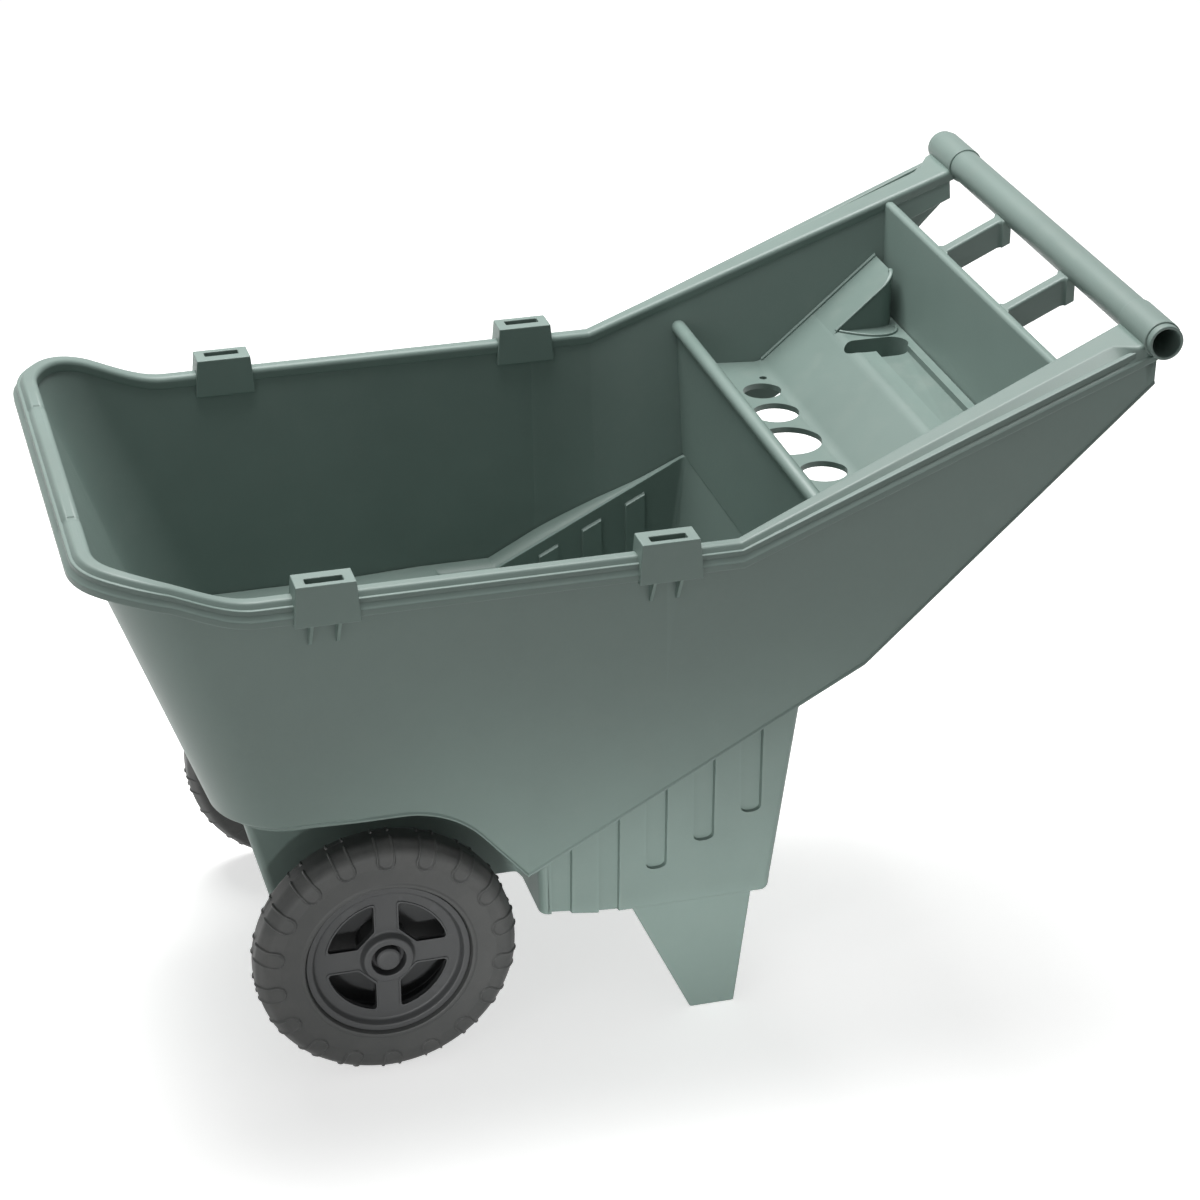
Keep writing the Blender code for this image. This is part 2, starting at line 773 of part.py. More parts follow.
def stub_outline(x, wall_y, inner_y):
    """Seen from above, a stub that stands on a wall and takes a screw."""
    shoulder = inner_y + (STUB_HALF / 2 if wall_y > inner_y else -STUB_HALF / 2)
    return [
        (x - STUB_HALF, wall_y),
        (x + STUB_HALF, wall_y),
        (x + STUB_HALF, shoulder),
        (x + STUB_HALF / 2, inner_y),
        (x - STUB_HALF / 2, inner_y),
        (x - STUB_HALF, shoulder),
    ]


def well_stub(x, side):
    """A stub inside the tub's wall that the well's flange rests on."""
    high = ledge_z(x) - WELL_WALL - GAP
    wall_y = side * (skin_y(x, high) + WALL / 2)
    inner_y = well_screw_y(x, side) - side * STUB_HALF
    return prism(stub_outline(x, wall_y, inner_y), along_z, high - STUB_HEIGHT, high)


def tray_stub(x, side):
    """A stub on a cheek that the tray's floor rests on."""
    low = tray_z(x - STUB_HALF) - tray_drop() - STUB_HEIGHT
    wall_y = side * (cheek_y(x, low) + WALL / 2)
    inner_y = tray_screw_y(x, side) - side * STUB_HALF

    def place(a, b, share):
        return Vector((a, b, tray_z(a) - tray_drop() - GAP if share else low))

    return prism(stub_outline(x, wall_y, inner_y), place, 0, 1)


def make_tub(material, frame):
    """The upper tub in one moulding: walls, rim, rails, windows, brackets and stubs."""
    tub = add_object("tub_body", smooth(tub_shell()), material, frame)
    combine(tub, helper("cut_crosswall", crosswall(), frame), "UNION")
    for label, side in SIDES:
        combine(tub, helper(f"cut_cheek_{label}", cheek(side), frame), "UNION")
        combine(tub, helper(f"cut_rib_{label}", handle_rib(side * RIB_HALF_PITCH), frame), "UNION")
        combine(tub, helper(f"cut_eye_{label}", rail_eye(side), frame), "UNION")
        for number, x in enumerate(BRACKET_XS, 1):
            tag = f"{label}_{number}"
            combine(tub, helper(f"cut_bracket_{tag}", bracket_body(x, side), frame), "UNION")
            for end, shift in (("a", -STAY_PITCH / 2), ("b", STAY_PITCH / 2)):
                stay = bracket_stay(x + shift, side)
                combine(tub, helper(f"cut_stay_{tag}{end}", stay, frame), "UNION")
            combine(tub, helper(f"cut_slot_{tag}", bracket_slot(x, side), frame), "DIFFERENCE")
        for number, x in enumerate(WELL_SCREW_XS, 1):
            combine(tub, helper(f"cut_well_stub_{label}_{number}", well_stub(x, side), frame), "UNION")
        for number, behind in enumerate(TRAY_SCREWS, 1):
            stub = tray_stub(DIVIDER_X + behind, side)
            combine(tub, helper(f"cut_tray_stub_{label}_{number}", stub, frame), "UNION")
    bore = y_cylinder(HANDLE_X, HANDLE_Z, TUBE_R + GAP, -TUBE_HALF_LENGTH, TUBE_HALF_LENGTH, TUBE_SIDES)
    combine(tub, helper("cut_tube_bore", bore, frame), "DIFFERENCE")
    drill(tub, "well_screw", frame)
    drill(tub, "tray_screw", frame)
    return tub


def ledge_plate():
    """The well's flange, which follows the tub's wall all round and folds up towards the tray."""
    rings = []
    places = []
    for station in half_stations():
        if station.shoulder < 1.0:
            break
        top = station.at(station.skin, station.top - BEAD_DEPTH)
        low = station.low(WALL, station.foot[2])
        share = (LEDGE_Z - WELL_WALL - low.z) / (top.z - low.z)
        point = low.lerp(top, share)
        places.append((point.x, point.y))
    front = places[2:]
    corner_end = front[-1][0]
    for x, y in front:
        rings.append(ledge_ring(x + SEAM, y - SEAM))
    ramp_x = CHEEK_START_X - CHEEK_RAMP
    walls = [x for x in side_places() if corner_end + SEAM < x < ramp_x]
    for x in sorted(walls + [LEDGE_FOLD_X, ramp_x, CHEEK_START_X, LEDGE_END_X]):
        rings.append(ledge_ring(x, inside_y(x, ledge_z(x) - WELL_WALL) - SEAM))
    return loft(rings)


def ledge_ring(x, half):
    """The flange cut across at x."""
    top = ledge_z(x)
    low = top - WELL_WALL
    return [Vector((x, -half, top)), Vector((x, half, top)), Vector((x, half, low)), Vector((x, -half, low))]


def hopper(front_top, front_low, rear_top, rear_low, half_top, half_low, low, high, reach):
    """A box with drafted walls from low to high; above reach it only runs on straight up."""

    def ring(z):
        share = (z - low) / (reach - low)
        front = front_low + (front_top - front_low) * share
        rear = rear_low + (rear_top - rear_low) * share
        half = half_low + (half_top - half_low) * share
        return [
            Vector((front, -half, z)),
            Vector((rear, -half, z)),
            Vector((rear, half, z)),
            Vector((front, half, z)),
        ]

    return loft([ring(low), ring(high)])


def front_box(inset, low, high):
    """The narrow box between the wheels, drawn in by inset."""
    return hopper(
        WELL_FRONT_TOP_X + inset,
        WELL_FRONT_FOOT_X + inset,
        POD_FRONT_FOOT_X + BOX_INTO_POD,
        POD_FRONT_FOOT_X + BOX_INTO_POD,
        BOX_HALF_TOP - inset,
        BOX_HALF_FOOT - inset,
        low,
        high,
        LEDGE_Z,
    )


def rear_pod(inset, low, high):
    """The wide fluted box behind the wheels, drawn in by inset."""
    top = ledge_z(POD_REAR_TOP_X)
    foot = WELL_FLOOR_Z
    share = (low - foot) / (top - foot)
    rear = POD_REAR_FOOT_X + (POD_REAR_TOP_X - POD_REAR_FOOT_X) * share
    half = POD_HALF_FOOT + (POD_HALF_TOP - POD_HALF_FOOT) * share
    front = POD_FRONT_FOOT_X + (POD_FRONT_X - POD_FRONT_FOOT_X) * share
    return hopper(
        POD_FRONT_X + inset,
        front + inset,
        POD_REAR_TOP_X - inset,
        rear - inset,
        POD_HALF_TOP - inset,
        half - inset,
        low,
        high,
        top,
    )


def flute_places():
    """Where each flute stands and where its round lower end lies."""
    for number in range(FLUTE_COUNT):
        steps = max(0, number + 1 - FLUTES_LOW)
        yield FLUTE_FIRST_X + FLUTE_PITCH * number, FLUTE_LOWEST_Z + FLUTE_RISE * steps


def flute(x, low, radius, side, depth_in, depth_out, high):
    """An upright bar with a round lower end, from depth_in inside the panel to depth_out."""
    outline = arc((x, low + radius), radius, math.pi, math.pi, ARC_STEPS)
    outline += [(x + radius, high), (x - radius, high)]

    def place(a, b, depth):
        share = (b - WELL_FLOOR_Z) / (ledge_z(POD_REAR_TOP_X) - WELL_FLOOR_Z)
        panel = POD_HALF_FOOT + (POD_HALF_TOP - POD_HALF_FOOT) * share
        return Vector((a, side * (panel - depth), b))

    return prism(outline, place, depth_in, -depth_out)


def well_cap():
    """What lies above the flange, for taking the tops off the boxes."""
    rings = []
    for x in (0.0, LEDGE_FOLD_X, CROSSWALL_X):
        low, high, half = ledge_z(x) - WELL_WALL / 2, ledge_z(x) + ROOM_HEIGHT, outer_half()
        rings.append([
            Vector((x, -half, low)),
            Vector((x, half, low)),
            Vector((x, half, high)),
            Vector((x, -half, high)),
        ])
    return loft(rings)


def axle_lug(y):
    """A plate under the well with a round lower end, which carries the axle."""
    points = arc((WHEEL_X, WHEEL_R), LUG_R, math.pi, math.pi, ARC_STEPS + 2)
    top = WELL_FLOOR_Z + WELL_WALL / 2
    points += [(WHEEL_X + LUG_R, top), (WHEEL_X - LUG_R, top)]
    return prism(points, along_y, y - LUG_PLATE / 2, y + LUG_PLATE / 2)


def lug_places():
    """Middles of the four axle lugs across the well."""
    outer = BOX_HALF_FOOT - LUG_PLATE / 2 - BEAD_STEP
    return (-outer, -LUG_INNER_Y, LUG_INNER_Y, outer)


def make_well(material, frame):
    """The lower well: flange, narrow box, fluted pod, floor, axle lugs and lips."""
    well = add_object("lower_well", ledge_plate(), material, frame)
    top = ledge_z(POD_REAR_TOP_X)
    boxes = helper("cut_well_boxes", front_box(0.0, WELL_FLOOR_Z, top), frame)
    combine(boxes, helper("cut_pod_outer", rear_pod(0.0, POD_LIP_Z, top + WELL_WALL), frame), "UNION")
    combine(boxes, helper("cut_well_cap", well_cap(), frame), "DIFFERENCE")
    combine(well, boxes, "UNION")
    room_floor, room_top = WELL_FLOOR_Z + WELL_WALL, WELL_FLOOR_Z + ROOM_HEIGHT
    room = helper("cut_pod_room", rear_pod(WELL_WALL, room_floor, room_top), frame)
    hollow_box = front_box(WELL_WALL, room_floor, room_top)
    combine(room, helper("cut_box_room", hollow_box, frame), "UNION")
    for label, side in SIDES:
        for number, (x, low) in enumerate(flute_places(), 1):
            wide = FLUTE_WIDTH / 2 + WELL_WALL
            depth = WELL_WALL + FLUTE_DEPTH
            high = ledge_z(x) + FLUTE_WIDTH
            bar = flute(x, low - WELL_WALL, wide, side, depth, -WELL_WALL / 2, high)
            combine(room, helper(f"cut_flute_bar_{label}_{number}", bar, frame), "DIFFERENCE")
    combine(well, room, "DIFFERENCE")
    for label, side in SIDES:
        for number, (x, low) in enumerate(flute_places(), 1):
            high = ledge_z(x) - FLUTE_TOP_DROP
            groove = flute(x, low, FLUTE_WIDTH / 2, side, FLUTE_DEPTH, WELL_WALL, high)
            combine(well, helper(f"cut_flute_{label}_{number}", groove, frame), "DIFFERENCE")
    under = rear_pod(POD_LIP_WALL, POD_LIP_Z - WELL_WALL, WELL_FLOOR_Z)
    combine(well, helper("cut_pod_under", under, frame), "DIFFERENCE")
    for number, y in enumerate(lug_places(), 1):
        combine(well, helper(f"cut_axle_lug_{number}", axle_lug(y), frame), "UNION")
    bore = y_cylinder(WHEEL_X, WHEEL_R, AXLE_R + GAP, -BOX_HALF_TOP, BOX_HALF_TOP, RING_SIDES)
    combine(well, helper("cut_axle_bore", bore, frame), "DIFFERENCE")
    drill(well, "well_screw", frame)
    drill(well, "leg_screw", frame)
    return well


def leg_outer_y():
    """The leg's outer face, just inside the lip of the side panel."""
    return POD_HALF_FOOT - POD_LIP_WALL - LEG_RECESS


def leg_shell(side):
    """A tapered channel, open towards the middle of the cart, with a flat foot."""
    top = WELL_FLOOR_Z - GAP
    levels = (
        (0.0, LEG_FOOT_FRONT_X, LEG_FOOT_REAR_X, LEG_FOOT_DEPTH),
        (top, LEG_TOP_FRONT_X, LEG_TOP_REAR_X, LEG_DEPTH),
    )

    def ring(z, inset, opening):
        share = z / top
        low, high = levels
        front = low[1] + (high[1] - low[1]) * share + inset
        rear = low[2] + (high[2] - low[2]) * share - inset
        depth = low[3] + (high[3] - low[3]) * share
        outer = side * (leg_outer_y() - inset)
        inner = side * (leg_outer_y() - depth - opening)
        return [
            Vector((front, inner, z)),
            Vector((rear, inner, z)),
            Vector((rear, outer, z)),
            Vector((front, outer, z)),
        ]

    solid = loft([ring(0.0, 0.0, 0.0), ring(top, 0.0, 0.0)])
    room = loft([ring(LEG_WALL, LEG_WALL, WALL), ring(top - LEG_WALL, LEG_WALL, WALL)])
    return solid, room


def make_leg(label, side, material, frame):
    """One leg, hollow and open on its inner side."""
    solid, room = leg_shell(side)
    leg = add_object(f"leg_{label}", solid, material, frame)
    combine(leg, helper(f"cut_leg_room_{label}", room, frame), "DIFFERENCE")
    drill(leg, f"leg_screw_{label}", frame)
    return leg


def tray_half(x, z):
    """Half the tray's width at x and height z."""
    return cheek_y(x, z) - SEAM / 2


def tray_slab(low_drop, high_drop, start, end):
    """A slab that follows the tray's floor, between two depths under its top face."""
    rings = []
    for x in (start, DIVIDER_X + TRAY_SLOPE_START, DIVIDER_X + TRAY_SLOPE_END, end):
        high, low = tray_z(x) - high_drop, tray_z(x) - low_drop
        rings.append([
            Vector((x, -tray_half(x, high), high)),
            Vector((x, tray_half(x, high), high)),
            Vector((x, tray_half(x, low), low)),
            Vector((x, -tray_half(x, low), low)),
        ])
    return loft(rings)


def tray_strip():
    """The strip along the right cheek that carries the slope on up to the crosswall."""
    rings = []
    for x in (DIVIDER_X + TRAY_SLOPE_END, DIVIDER_X + STRIP_END):
        top, low = tray_slope_z(x) - GAP, tray_z(x) - tray_drop() / 2
        rings.append([
            Vector((x, STRIP_INNER_Y, top)),
            Vector((x, tray_half(x, top) - SEAM, top)),
            Vector((x, tray_half(x, low) - SEAM, low)),
            Vector((x, STRIP_INNER_Y, low)),
        ])
    return loft(rings)


def trough(wall, low_drop, high_drop):
    """A shallow hollow across the tray's floor, or the floor's bulge under it."""
    rings = []
    middle, half = DIVIDER_X + TROUGH, TROUGH_WIDTH / 2 + wall
    for x in (middle - half, middle + half):
        high, low = tray_z(x) - high_drop, tray_z(x) - low_drop
        rings.append([
            Vector((x, TROUGH_LEFT_Y - wall, high)),
            Vector((x, TROUGH_RIGHT_Y, high)),
            Vector((x, TROUGH_RIGHT_Y, low)),
            Vector((x, TROUGH_LEFT_Y - wall, low)),
        ])
    return loft(rings)


def hanging_cup(name, outline, low, frame):
    """The outside of a cup under the tray's floor, up to the middle of the floor."""
    cup = helper(name, prism(outline, along_z, low, low + TRAY_CUT_HEIGHT), frame)
    behind = CROSSWALL_X + CROSSWALL_THICKNESS
    above = tray_slab(tray_drop() / 2, -2 * TRAY_CUT_HEIGHT, DIVIDER_X, behind)
    combine(cup, helper(f"{name}_top", above, frame), "DIFFERENCE")
    return cup


def make_tray(material, frame):
    """The tool tray: two level floors with a slope between, strip, pocket, trough and tool holes."""
    start = DIVIDER_X + DIVIDER_THICKNESS / 2 + GAP
    end = CROSSWALL_X - CROSSWALL_LEAN - SEAM
    tray = add_object("tool_tray", tray_slab(tray_drop(), 0.0, start, end), material, frame)
    bulge = trough(TRAY_WALL, tray_drop() + TROUGH_DEPTH, tray_drop() / 2)
    combine(tray, helper("cut_trough_body", bulge, frame), "UNION")
    pocket_ends = tray_points((POCKET_START, POCKET_END))
    pocket_low = tray_z(pocket_ends[0][0]) - POCKET_DEPTH
    pocket_body = capsule(*pocket_ends, POCKET_R)
    combine(tray, hanging_cup("cut_pocket_body", pocket_body, pocket_low, frame), "UNION")
    hollow = trough(0.0, TROUGH_DEPTH, -TRAY_CUT_MARGIN)
    combine(tray, helper("cut_trough", hollow, frame), "DIFFERENCE")
    combine(tray, helper("cut_strip", tray_strip(), frame), "UNION")
    pocket = capsule(*pocket_ends, POCKET_R - TRAY_WALL)
    pocket_room = prism(pocket, along_z, pocket_low + TRAY_WALL, pocket_low + TRAY_CUT_HEIGHT)
    combine(tray, helper("cut_pocket", pocket_room, frame), "DIFFERENCE")
    rear = DIVIDER_X + TOOL_HOLES_REAR
    cut_low, cut_high = tray_z(DIVIDER_X) - TRAY_CUT_MARGIN, tray_z(rear) + TRAY_CUT_MARGIN
    for number, (y, radius) in enumerate(TOOL_HOLES, 1):
        hole = prism(circle((rear - radius, y), radius, HOLE_SIDES), along_z, cut_low, cut_high)
        combine(tray, helper(f"cut_tool_hole_{number}", hole, frame), "DIFFERENCE")
    peg_place = tray_points([PEG_HOLE])[0]
    peg = prism(circle(peg_place, PEG_HOLE_R, SCREW_SIDES), along_z, cut_low, cut_high)
    combine(tray, helper("cut_peg_hole", peg, frame), "DIFFERENCE")
    drill(tray, "tray_screw", frame)
    return tray


def make_divider(material, frame):
    """The panel between the bay and the tray, with a thick rounded top edge."""
    low = ledge_z(LEDGE_END_X) + GAP
    bead_z = rim_top(DIVIDER_X) - DIVIDER_BELOW_RIM - DIVIDER_BEAD_R
    half = DIVIDER_THICKNESS / 2
    start = -math.acos(half / DIVIDER_BEAD_R)
    bead = arc((DIVIDER_X, bead_z), DIVIDER_BEAD_R, start, math.pi - 2 * start, 2 * ARC_STEPS)
    profile = [(DIVIDER_X - half, low), (DIVIDER_X + half, low)] + bead
    mesh = smooth(prism(profile, between_cheeks(SEAM / 2), -1, 1))
    return add_object("divider_panel", mesh, material, frame)


def make_tube(material, frame):
    """The hollow handle tube, open at both ends."""
    profile = [
        (TUBE_R, -TUBE_HALF_LENGTH),
        (TUBE_R, TUBE_HALF_LENGTH),
        (TUBE_R - TUBE_WALL, TUBE_HALF_LENGTH),
        (TUBE_R - TUBE_WALL, -TUBE_HALF_LENGTH),
    ]
    mesh = smooth(lathe_y(profile, TUBE_SIDES))
    tube = add_object("handle_tube", mesh, material, frame)
    tube.location = (HANDLE_X, 0, HANDLE_Z)
    return tube


def make_axle(material, frame):
    """The steel axle through the lugs and both wheels."""
    mesh = smooth(y_cylinder(0, 0, AXLE_R, -AXLE_HALF_LENGTH, AXLE_HALF_LENGTH, RING_SIDES))
    axle = add_object("axle", mesh, material, frame)
    axle.location = (WHEEL_X, 0, WHEEL_R)
    return axle


def tyre_mesh(side):
    """A tyre with lugs that run over its shoulders and tread; one lug edge is lowest."""
    inner, outer = WHEEL_FACE_Y - TYRE_WIDTH, WHEEL_FACE_Y
    bore = RIM_RING_R + GAP
    tread = WHEEL_R - LUG_HEIGHT
    profile = [
        (bore, inner),
        (bore, outer - HUB_RING_RECESS),
        (bore + TYRE_EDGE, outer - LUG_HEIGHT / 2),
        (tread - TYRE_SHOULDER, outer - LUG_HEIGHT / 2),
        (tread, outer - TYRE_SHOULDER),
        (tread, inner + TYRE_SHOULDER),
        (tread - TYRE_SHOULDER, inner),
    ]
    raised = {index for index, (radius, _) in enumerate(profile) if radius == tread}
    bm = bmesh.new()
    rows = []
    pitch = 2 * math.pi / LUG_COUNT
    for lug in range(LUG_COUNT):
        for turn, up in ((-LUG_SLOPE, 0), (0, 1), (LUG_SPREAD, 1), (LUG_SPREAD + LUG_SLOPE, 0)):
            angle = pitch * lug + turn - math.pi / 2
            row = []
            for index, (radius, y) in enumerate(profile):
                reach = radius + LUG_HEIGHT * up * (index in raised)
                point = (reach * math.cos(angle), side * y, reach * math.sin(angle))
                row.append(bm.verts.new(point))
            rows.append(row)
    for row, following in zip(rows, rows[1:] + rows[:1]):
        for i in range(len(profile)):
            j = (i + 1) % len(profile)
            bm.faces.new((row[i], row[j], following[j], following[i]))
    return smooth(finish_mesh(bm, "tyre"), TYRE_SMOOTH_ANGLE)


def hub_profile(side):
    """The hub's outside in one closed section: ring, front disc, boss and back disc."""
    outer = WHEEL_FACE_Y
    inner = outer - TYRE_WIDTH
    ring_out, ring_in = RIM_RING_R, RIM_RING_R - RIM_RING_WALL
    face = outer - HUB_DISC_RECESS
    bore = AXLE_R + GAP + BUSH_WALL + GAP
    boss_face = outer - BOSS_RECESS
    points = [
        (bore, BOSS_INNER_Y),
        (bore, boss_face - CAP_WELL_DEPTH),
        (CAP_WELL_R, boss_face - CAP_WELL_DEPTH),
        (CAP_WELL_R, boss_face),
        (BOSS_R, boss_face),
        (BOSS_R + BEAD_STEP, face),
        (ring_in - BEAD_STEP, face),
        (ring_in, outer - HUB_RING_RECESS),
        (ring_out, outer - HUB_RING_RECESS),
        (ring_out, inner + BEAD_STEP),
        (BOSS_R, inner + BEAD_STEP),
        (BOSS_R, BOSS_INNER_Y),
    ]
    return [(radius, side * y) for radius, y in points]


def hub_room(side):
    """The hollow between the hub's two discs, which the windows open."""
    ring_in = RIM_RING_R - RIM_RING_WALL
    front = side * (WHEEL_FACE_Y - HUB_DISC_RECESS - HUB_DISC_WALL)
    back = side * (WHEEL_FACE_Y - TYRE_WIDTH + BEAD_STEP + HUB_BACK_WALL)
    profile = [(BOSS_R, back), (BOSS_R, front), (ring_in, front), (ring_in, back)]
    return lathe_y(profile, HUB_SIDES)


def hub_window(quarter, side):
    """One of the four openings between the spokes."""
    half = SPOKE_WIDTH / 2
    points = []
    inner_start = math.asin(half / WINDOW_INNER_R)
    outer_start = math.asin(half / WINDOW_OUTER_R)
    turn = math.pi / 2 * quarter
    for step in range(ARC_STEPS + 1):
        angle = turn + outer_start + (math.pi / 2 - 2 * outer_start) * step / ARC_STEPS
        points.append((WINDOW_OUTER_R * math.cos(angle), WINDOW_OUTER_R * math.sin(angle)))
    for step in range(3):
        angle = turn + math.pi / 2 - inner_start - (math.pi / 2 - 2 * inner_start) * step / 2
        points.append((WINDOW_INNER_R * math.cos(angle), WINDOW_INNER_R * math.sin(angle)))
    span = sorted((side * (WHEEL_FACE_Y - TYRE_WIDTH / 2), side * WHEEL_FACE_Y))
    return prism(points, along_y, span[0], span[1])


def make_wheel(label, side, materials, frame):
    """One wheel: tyre, hub and bush, on an empty that lies on the axle's line."""
    pivot = bpy.data.objects.new(f"wheel_{label}_axis", None)
    bpy.context.scene.collection.objects.link(pivot)
    pivot.parent = frame
    pivot.location = (WHEEL_X, 0, WHEEL_R)
    add_object(f"tyre_{label}", tyre_mesh(side), materials["tyre"], pivot)
    hub_mesh = smooth(lathe_y(hub_profile(side), HUB_SIDES))
    hub = add_object(f"wheel_hub_{label}", hub_mesh, materials["hub"], pivot)
    combine(hub, helper(f"cut_hub_room_{label}", hub_room(side), pivot), "DIFFERENCE")
    for quarter in range(4):
        tool = helper(f"cut_window_{label}_{quarter + 1}", hub_window(quarter, side), pivot)
        combine(hub, tool, "DIFFERENCE")
    bore = AXLE_R + GAP
    end = WHEEL_FACE_Y - BOSS_RECESS - CAP_WELL_DEPTH
    sleeve = [
        (bore, side * (BOSS_INNER_Y - BUSH_FLANGE)),
        (bore, side * end),
        (bore + BUSH_WALL, side * end),
        (bore + BUSH_WALL, side * (BOSS_INNER_Y - GAP)),
        (BUSH_FLANGE_R, side * (BOSS_INNER_Y - GAP)),
        (BUSH_FLANGE_R, side * (BOSS_INNER_Y - BUSH_FLANGE)),
    ]
    bush_mesh = smooth(lathe_y(sleeve, RING_SIDES))
    add_object(f"wheel_bush_{label}", bush_mesh, materials["bush"], pivot)


def make_axle_hardware(label, side, materials, frame):
    """Spacer, two washers, push nut and cap at one end of the axle."""
    bore = AXLE_R + GAP
    lug_face = lug_places()[-1] + LUG_PLATE / 2
    inner_end = BOSS_INNER_Y - BUSH_FLANGE - RUNNING_GAP
    inner_start = inner_end - WASHER_THICKNESS
    seat = WHEEL_FACE_Y - BOSS_RECESS - CAP_WELL_DEPTH + RUNNING_GAP
    seat_end = seat + WASHER_THICKNESS
    nut_start = seat_end + GAP
    nut_end = nut_start + NUT_THICKNESS
    rings = (
        ("axle_spacer", SPACER_R, lug_face + GAP, inner_start - GAP, RING_SIDES, "bush"),
        ("inner_washer", WASHER_R, inner_start, inner_end, RING_SIDES, "steel"),
        ("outer_washer", WASHER_R, seat, seat_end, RING_SIDES, "steel"),
        ("push_nut", NUT_R, nut_start, nut_end, NUT_SIDES, "steel"),
    )
    for name, outer, start, end, sides, finish in rings:
        profile = [(bore, side * start), (bore, side * end), (outer, side * end), (outer, side * start)]
        mesh = smooth(lathe_y(profile, sides))
        piece = add_object(f"{name}_{label}", mesh, materials[finish], frame)
        piece.location = (WHEEL_X, 0, WHEEL_R)
    cap_profile = [
        (0.0, side * (nut_start + CAP_REACH)),
        (CAP_CROWN_R, side * (nut_start + CAP_REACH)),
        (CAP_R, side * (nut_start + CAP_REACH - CAP_WALL)),
        (CAP_R, side * nut_start),
        (CAP_R - CAP_WALL, side * nut_start),
        (CAP_R - CAP_WALL, side * (nut_start + CAP_REACH - CAP_WALL)),
        (0.0, side * (nut_start + CAP_REACH - CAP_WALL)),
    ]
    cap = add_object(f"hub_cap_{label}", smooth(closed_turning(cap_profile)), materials["hub"], frame)
    cap.location = (WHEEL_X, 0, WHEEL_R)


def closed_turning(profile, sides=CAP_SIDES):
    """A turned solid whose profile starts and ends on the Y axis."""
    bm = bmesh.new()
    first = bm.verts.new((0, profile[0][1], 0))
    last = bm.verts.new((0, profile[-1][1], 0))
    rows = []
    for step in range(sides):
        angle = 2 * math.pi * step / sides
        row = [bm.verts.new((r * math.cos(angle), y, r * math.sin(angle))) for r, y in profile[1:-1]]
        rows.append(row)
    for row, following in zip(rows, rows[1:] + rows[:1]):
        bm.faces.new((first, row[0], following[0]))
        for i in range(len(row) - 1):
            bm.faces.new((row[i], row[i + 1], following[i + 1], following[i]))
        bm.faces.new((row[-1], last, following[-1]))
    return finish_mesh(bm, "turned")


def screw_mesh(length):
    """A pan-head screw, its head's seat at z = 0 and its shank up."""
    rings = []
    for radius, z in (
        (SCREW_CROWN_R, -SCREW_HEAD),
        (SCREW_HEAD_R, -SCREW_HEAD / 2),
        (SCREW_HEAD_R, 0.0),
        (SCREW_R, 0.0),
        (SCREW_R, length),
    ):
        rings.append([Vector((a, b, z)) for a, b in circle((0, 0), radius, SCREW_SIDES)])
    return smooth(loft(rings), SCREW_SMOOTH_ANGLE)


def make_screws(material, frame):
    """Screws of the well's flange, the tray and the legs, all from below."""
    for name, x, y, seat, tip in screw_places():
        screw = add_object(name, screw_mesh(tip - seat), material, frame)
        screw.location = (x, y, seat - GAP)


def make_cart():
    """Builds every piece on one frame, with the middle of the length over the origin."""
    clear_scene()
    frame = bpy.data.objects.new("cart_frame", None)
    bpy.context.scene.collection.objects.link(frame)
    frame.location = (-(HANDLE_X + TUBE_R + EYE_WALL) / 2, 0, 0)
    materials = {
        "body": make_material("sage_plastic", (0.135, 0.170, 0.150), 0.50),
        "tyre": make_material("grey_tyre", (0.075, 0.073, 0.072), 0.62),
        "hub": make_material("grey_hub", (0.068, 0.068, 0.070), 0.55),
        "bush": make_material("black_plastic", (0.020, 0.020, 0.022), 0.45),
        "steel": make_material("zinc_steel", (0.550, 0.560, 0.570), 0.35, 1.0),
    }
    make_tub(materials["body"], frame)
    make_well(materials["body"], frame)
    for label, side in SIDES:
        make_leg(label, side, materials["body"], frame)
    make_tray(materials["body"], frame)
    make_divider(materials["body"], frame)
    make_tube(materials["body"], frame)
    make_axle(materials["steel"], frame)
    for label, side in SIDES:
        make_wheel(label, side, materials, frame)
        make_axle_hardware(label, side, materials, frame)
    make_screws(materials["steel"], frame)


make_cart()
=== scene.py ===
"""Lawn cart dressed for the camera: a moulded sage tub on two wheels, with a tool tray and a tube handle.

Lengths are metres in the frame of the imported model: +Z up, +X from the nose to the handle, left is -Y.
Shapes are drawn with the nose at x = 0 and moved to the frame when a piece is finished.
"""

import logging
import math
from collections.abc import Callable, Iterable, Sequence
from dataclasses import dataclass, field
from enum import Enum
from typing import Any

import bmesh
import bpy
from mathutils import Matrix, Vector


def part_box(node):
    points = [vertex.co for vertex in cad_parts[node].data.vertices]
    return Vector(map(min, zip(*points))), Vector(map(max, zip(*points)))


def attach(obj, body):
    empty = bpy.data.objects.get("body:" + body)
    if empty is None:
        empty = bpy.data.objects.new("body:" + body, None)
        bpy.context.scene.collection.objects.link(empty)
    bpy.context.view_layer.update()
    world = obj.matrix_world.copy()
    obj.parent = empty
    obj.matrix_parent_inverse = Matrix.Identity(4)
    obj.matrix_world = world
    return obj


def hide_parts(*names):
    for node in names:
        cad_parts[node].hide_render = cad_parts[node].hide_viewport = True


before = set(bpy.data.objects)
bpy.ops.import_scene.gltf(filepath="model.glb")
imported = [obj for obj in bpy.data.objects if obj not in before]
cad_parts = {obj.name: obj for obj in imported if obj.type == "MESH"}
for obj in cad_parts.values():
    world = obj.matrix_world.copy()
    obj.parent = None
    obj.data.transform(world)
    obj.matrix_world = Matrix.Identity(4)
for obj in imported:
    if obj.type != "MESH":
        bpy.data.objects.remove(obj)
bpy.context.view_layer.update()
LOG = logging.getLogger("lawn_cart")

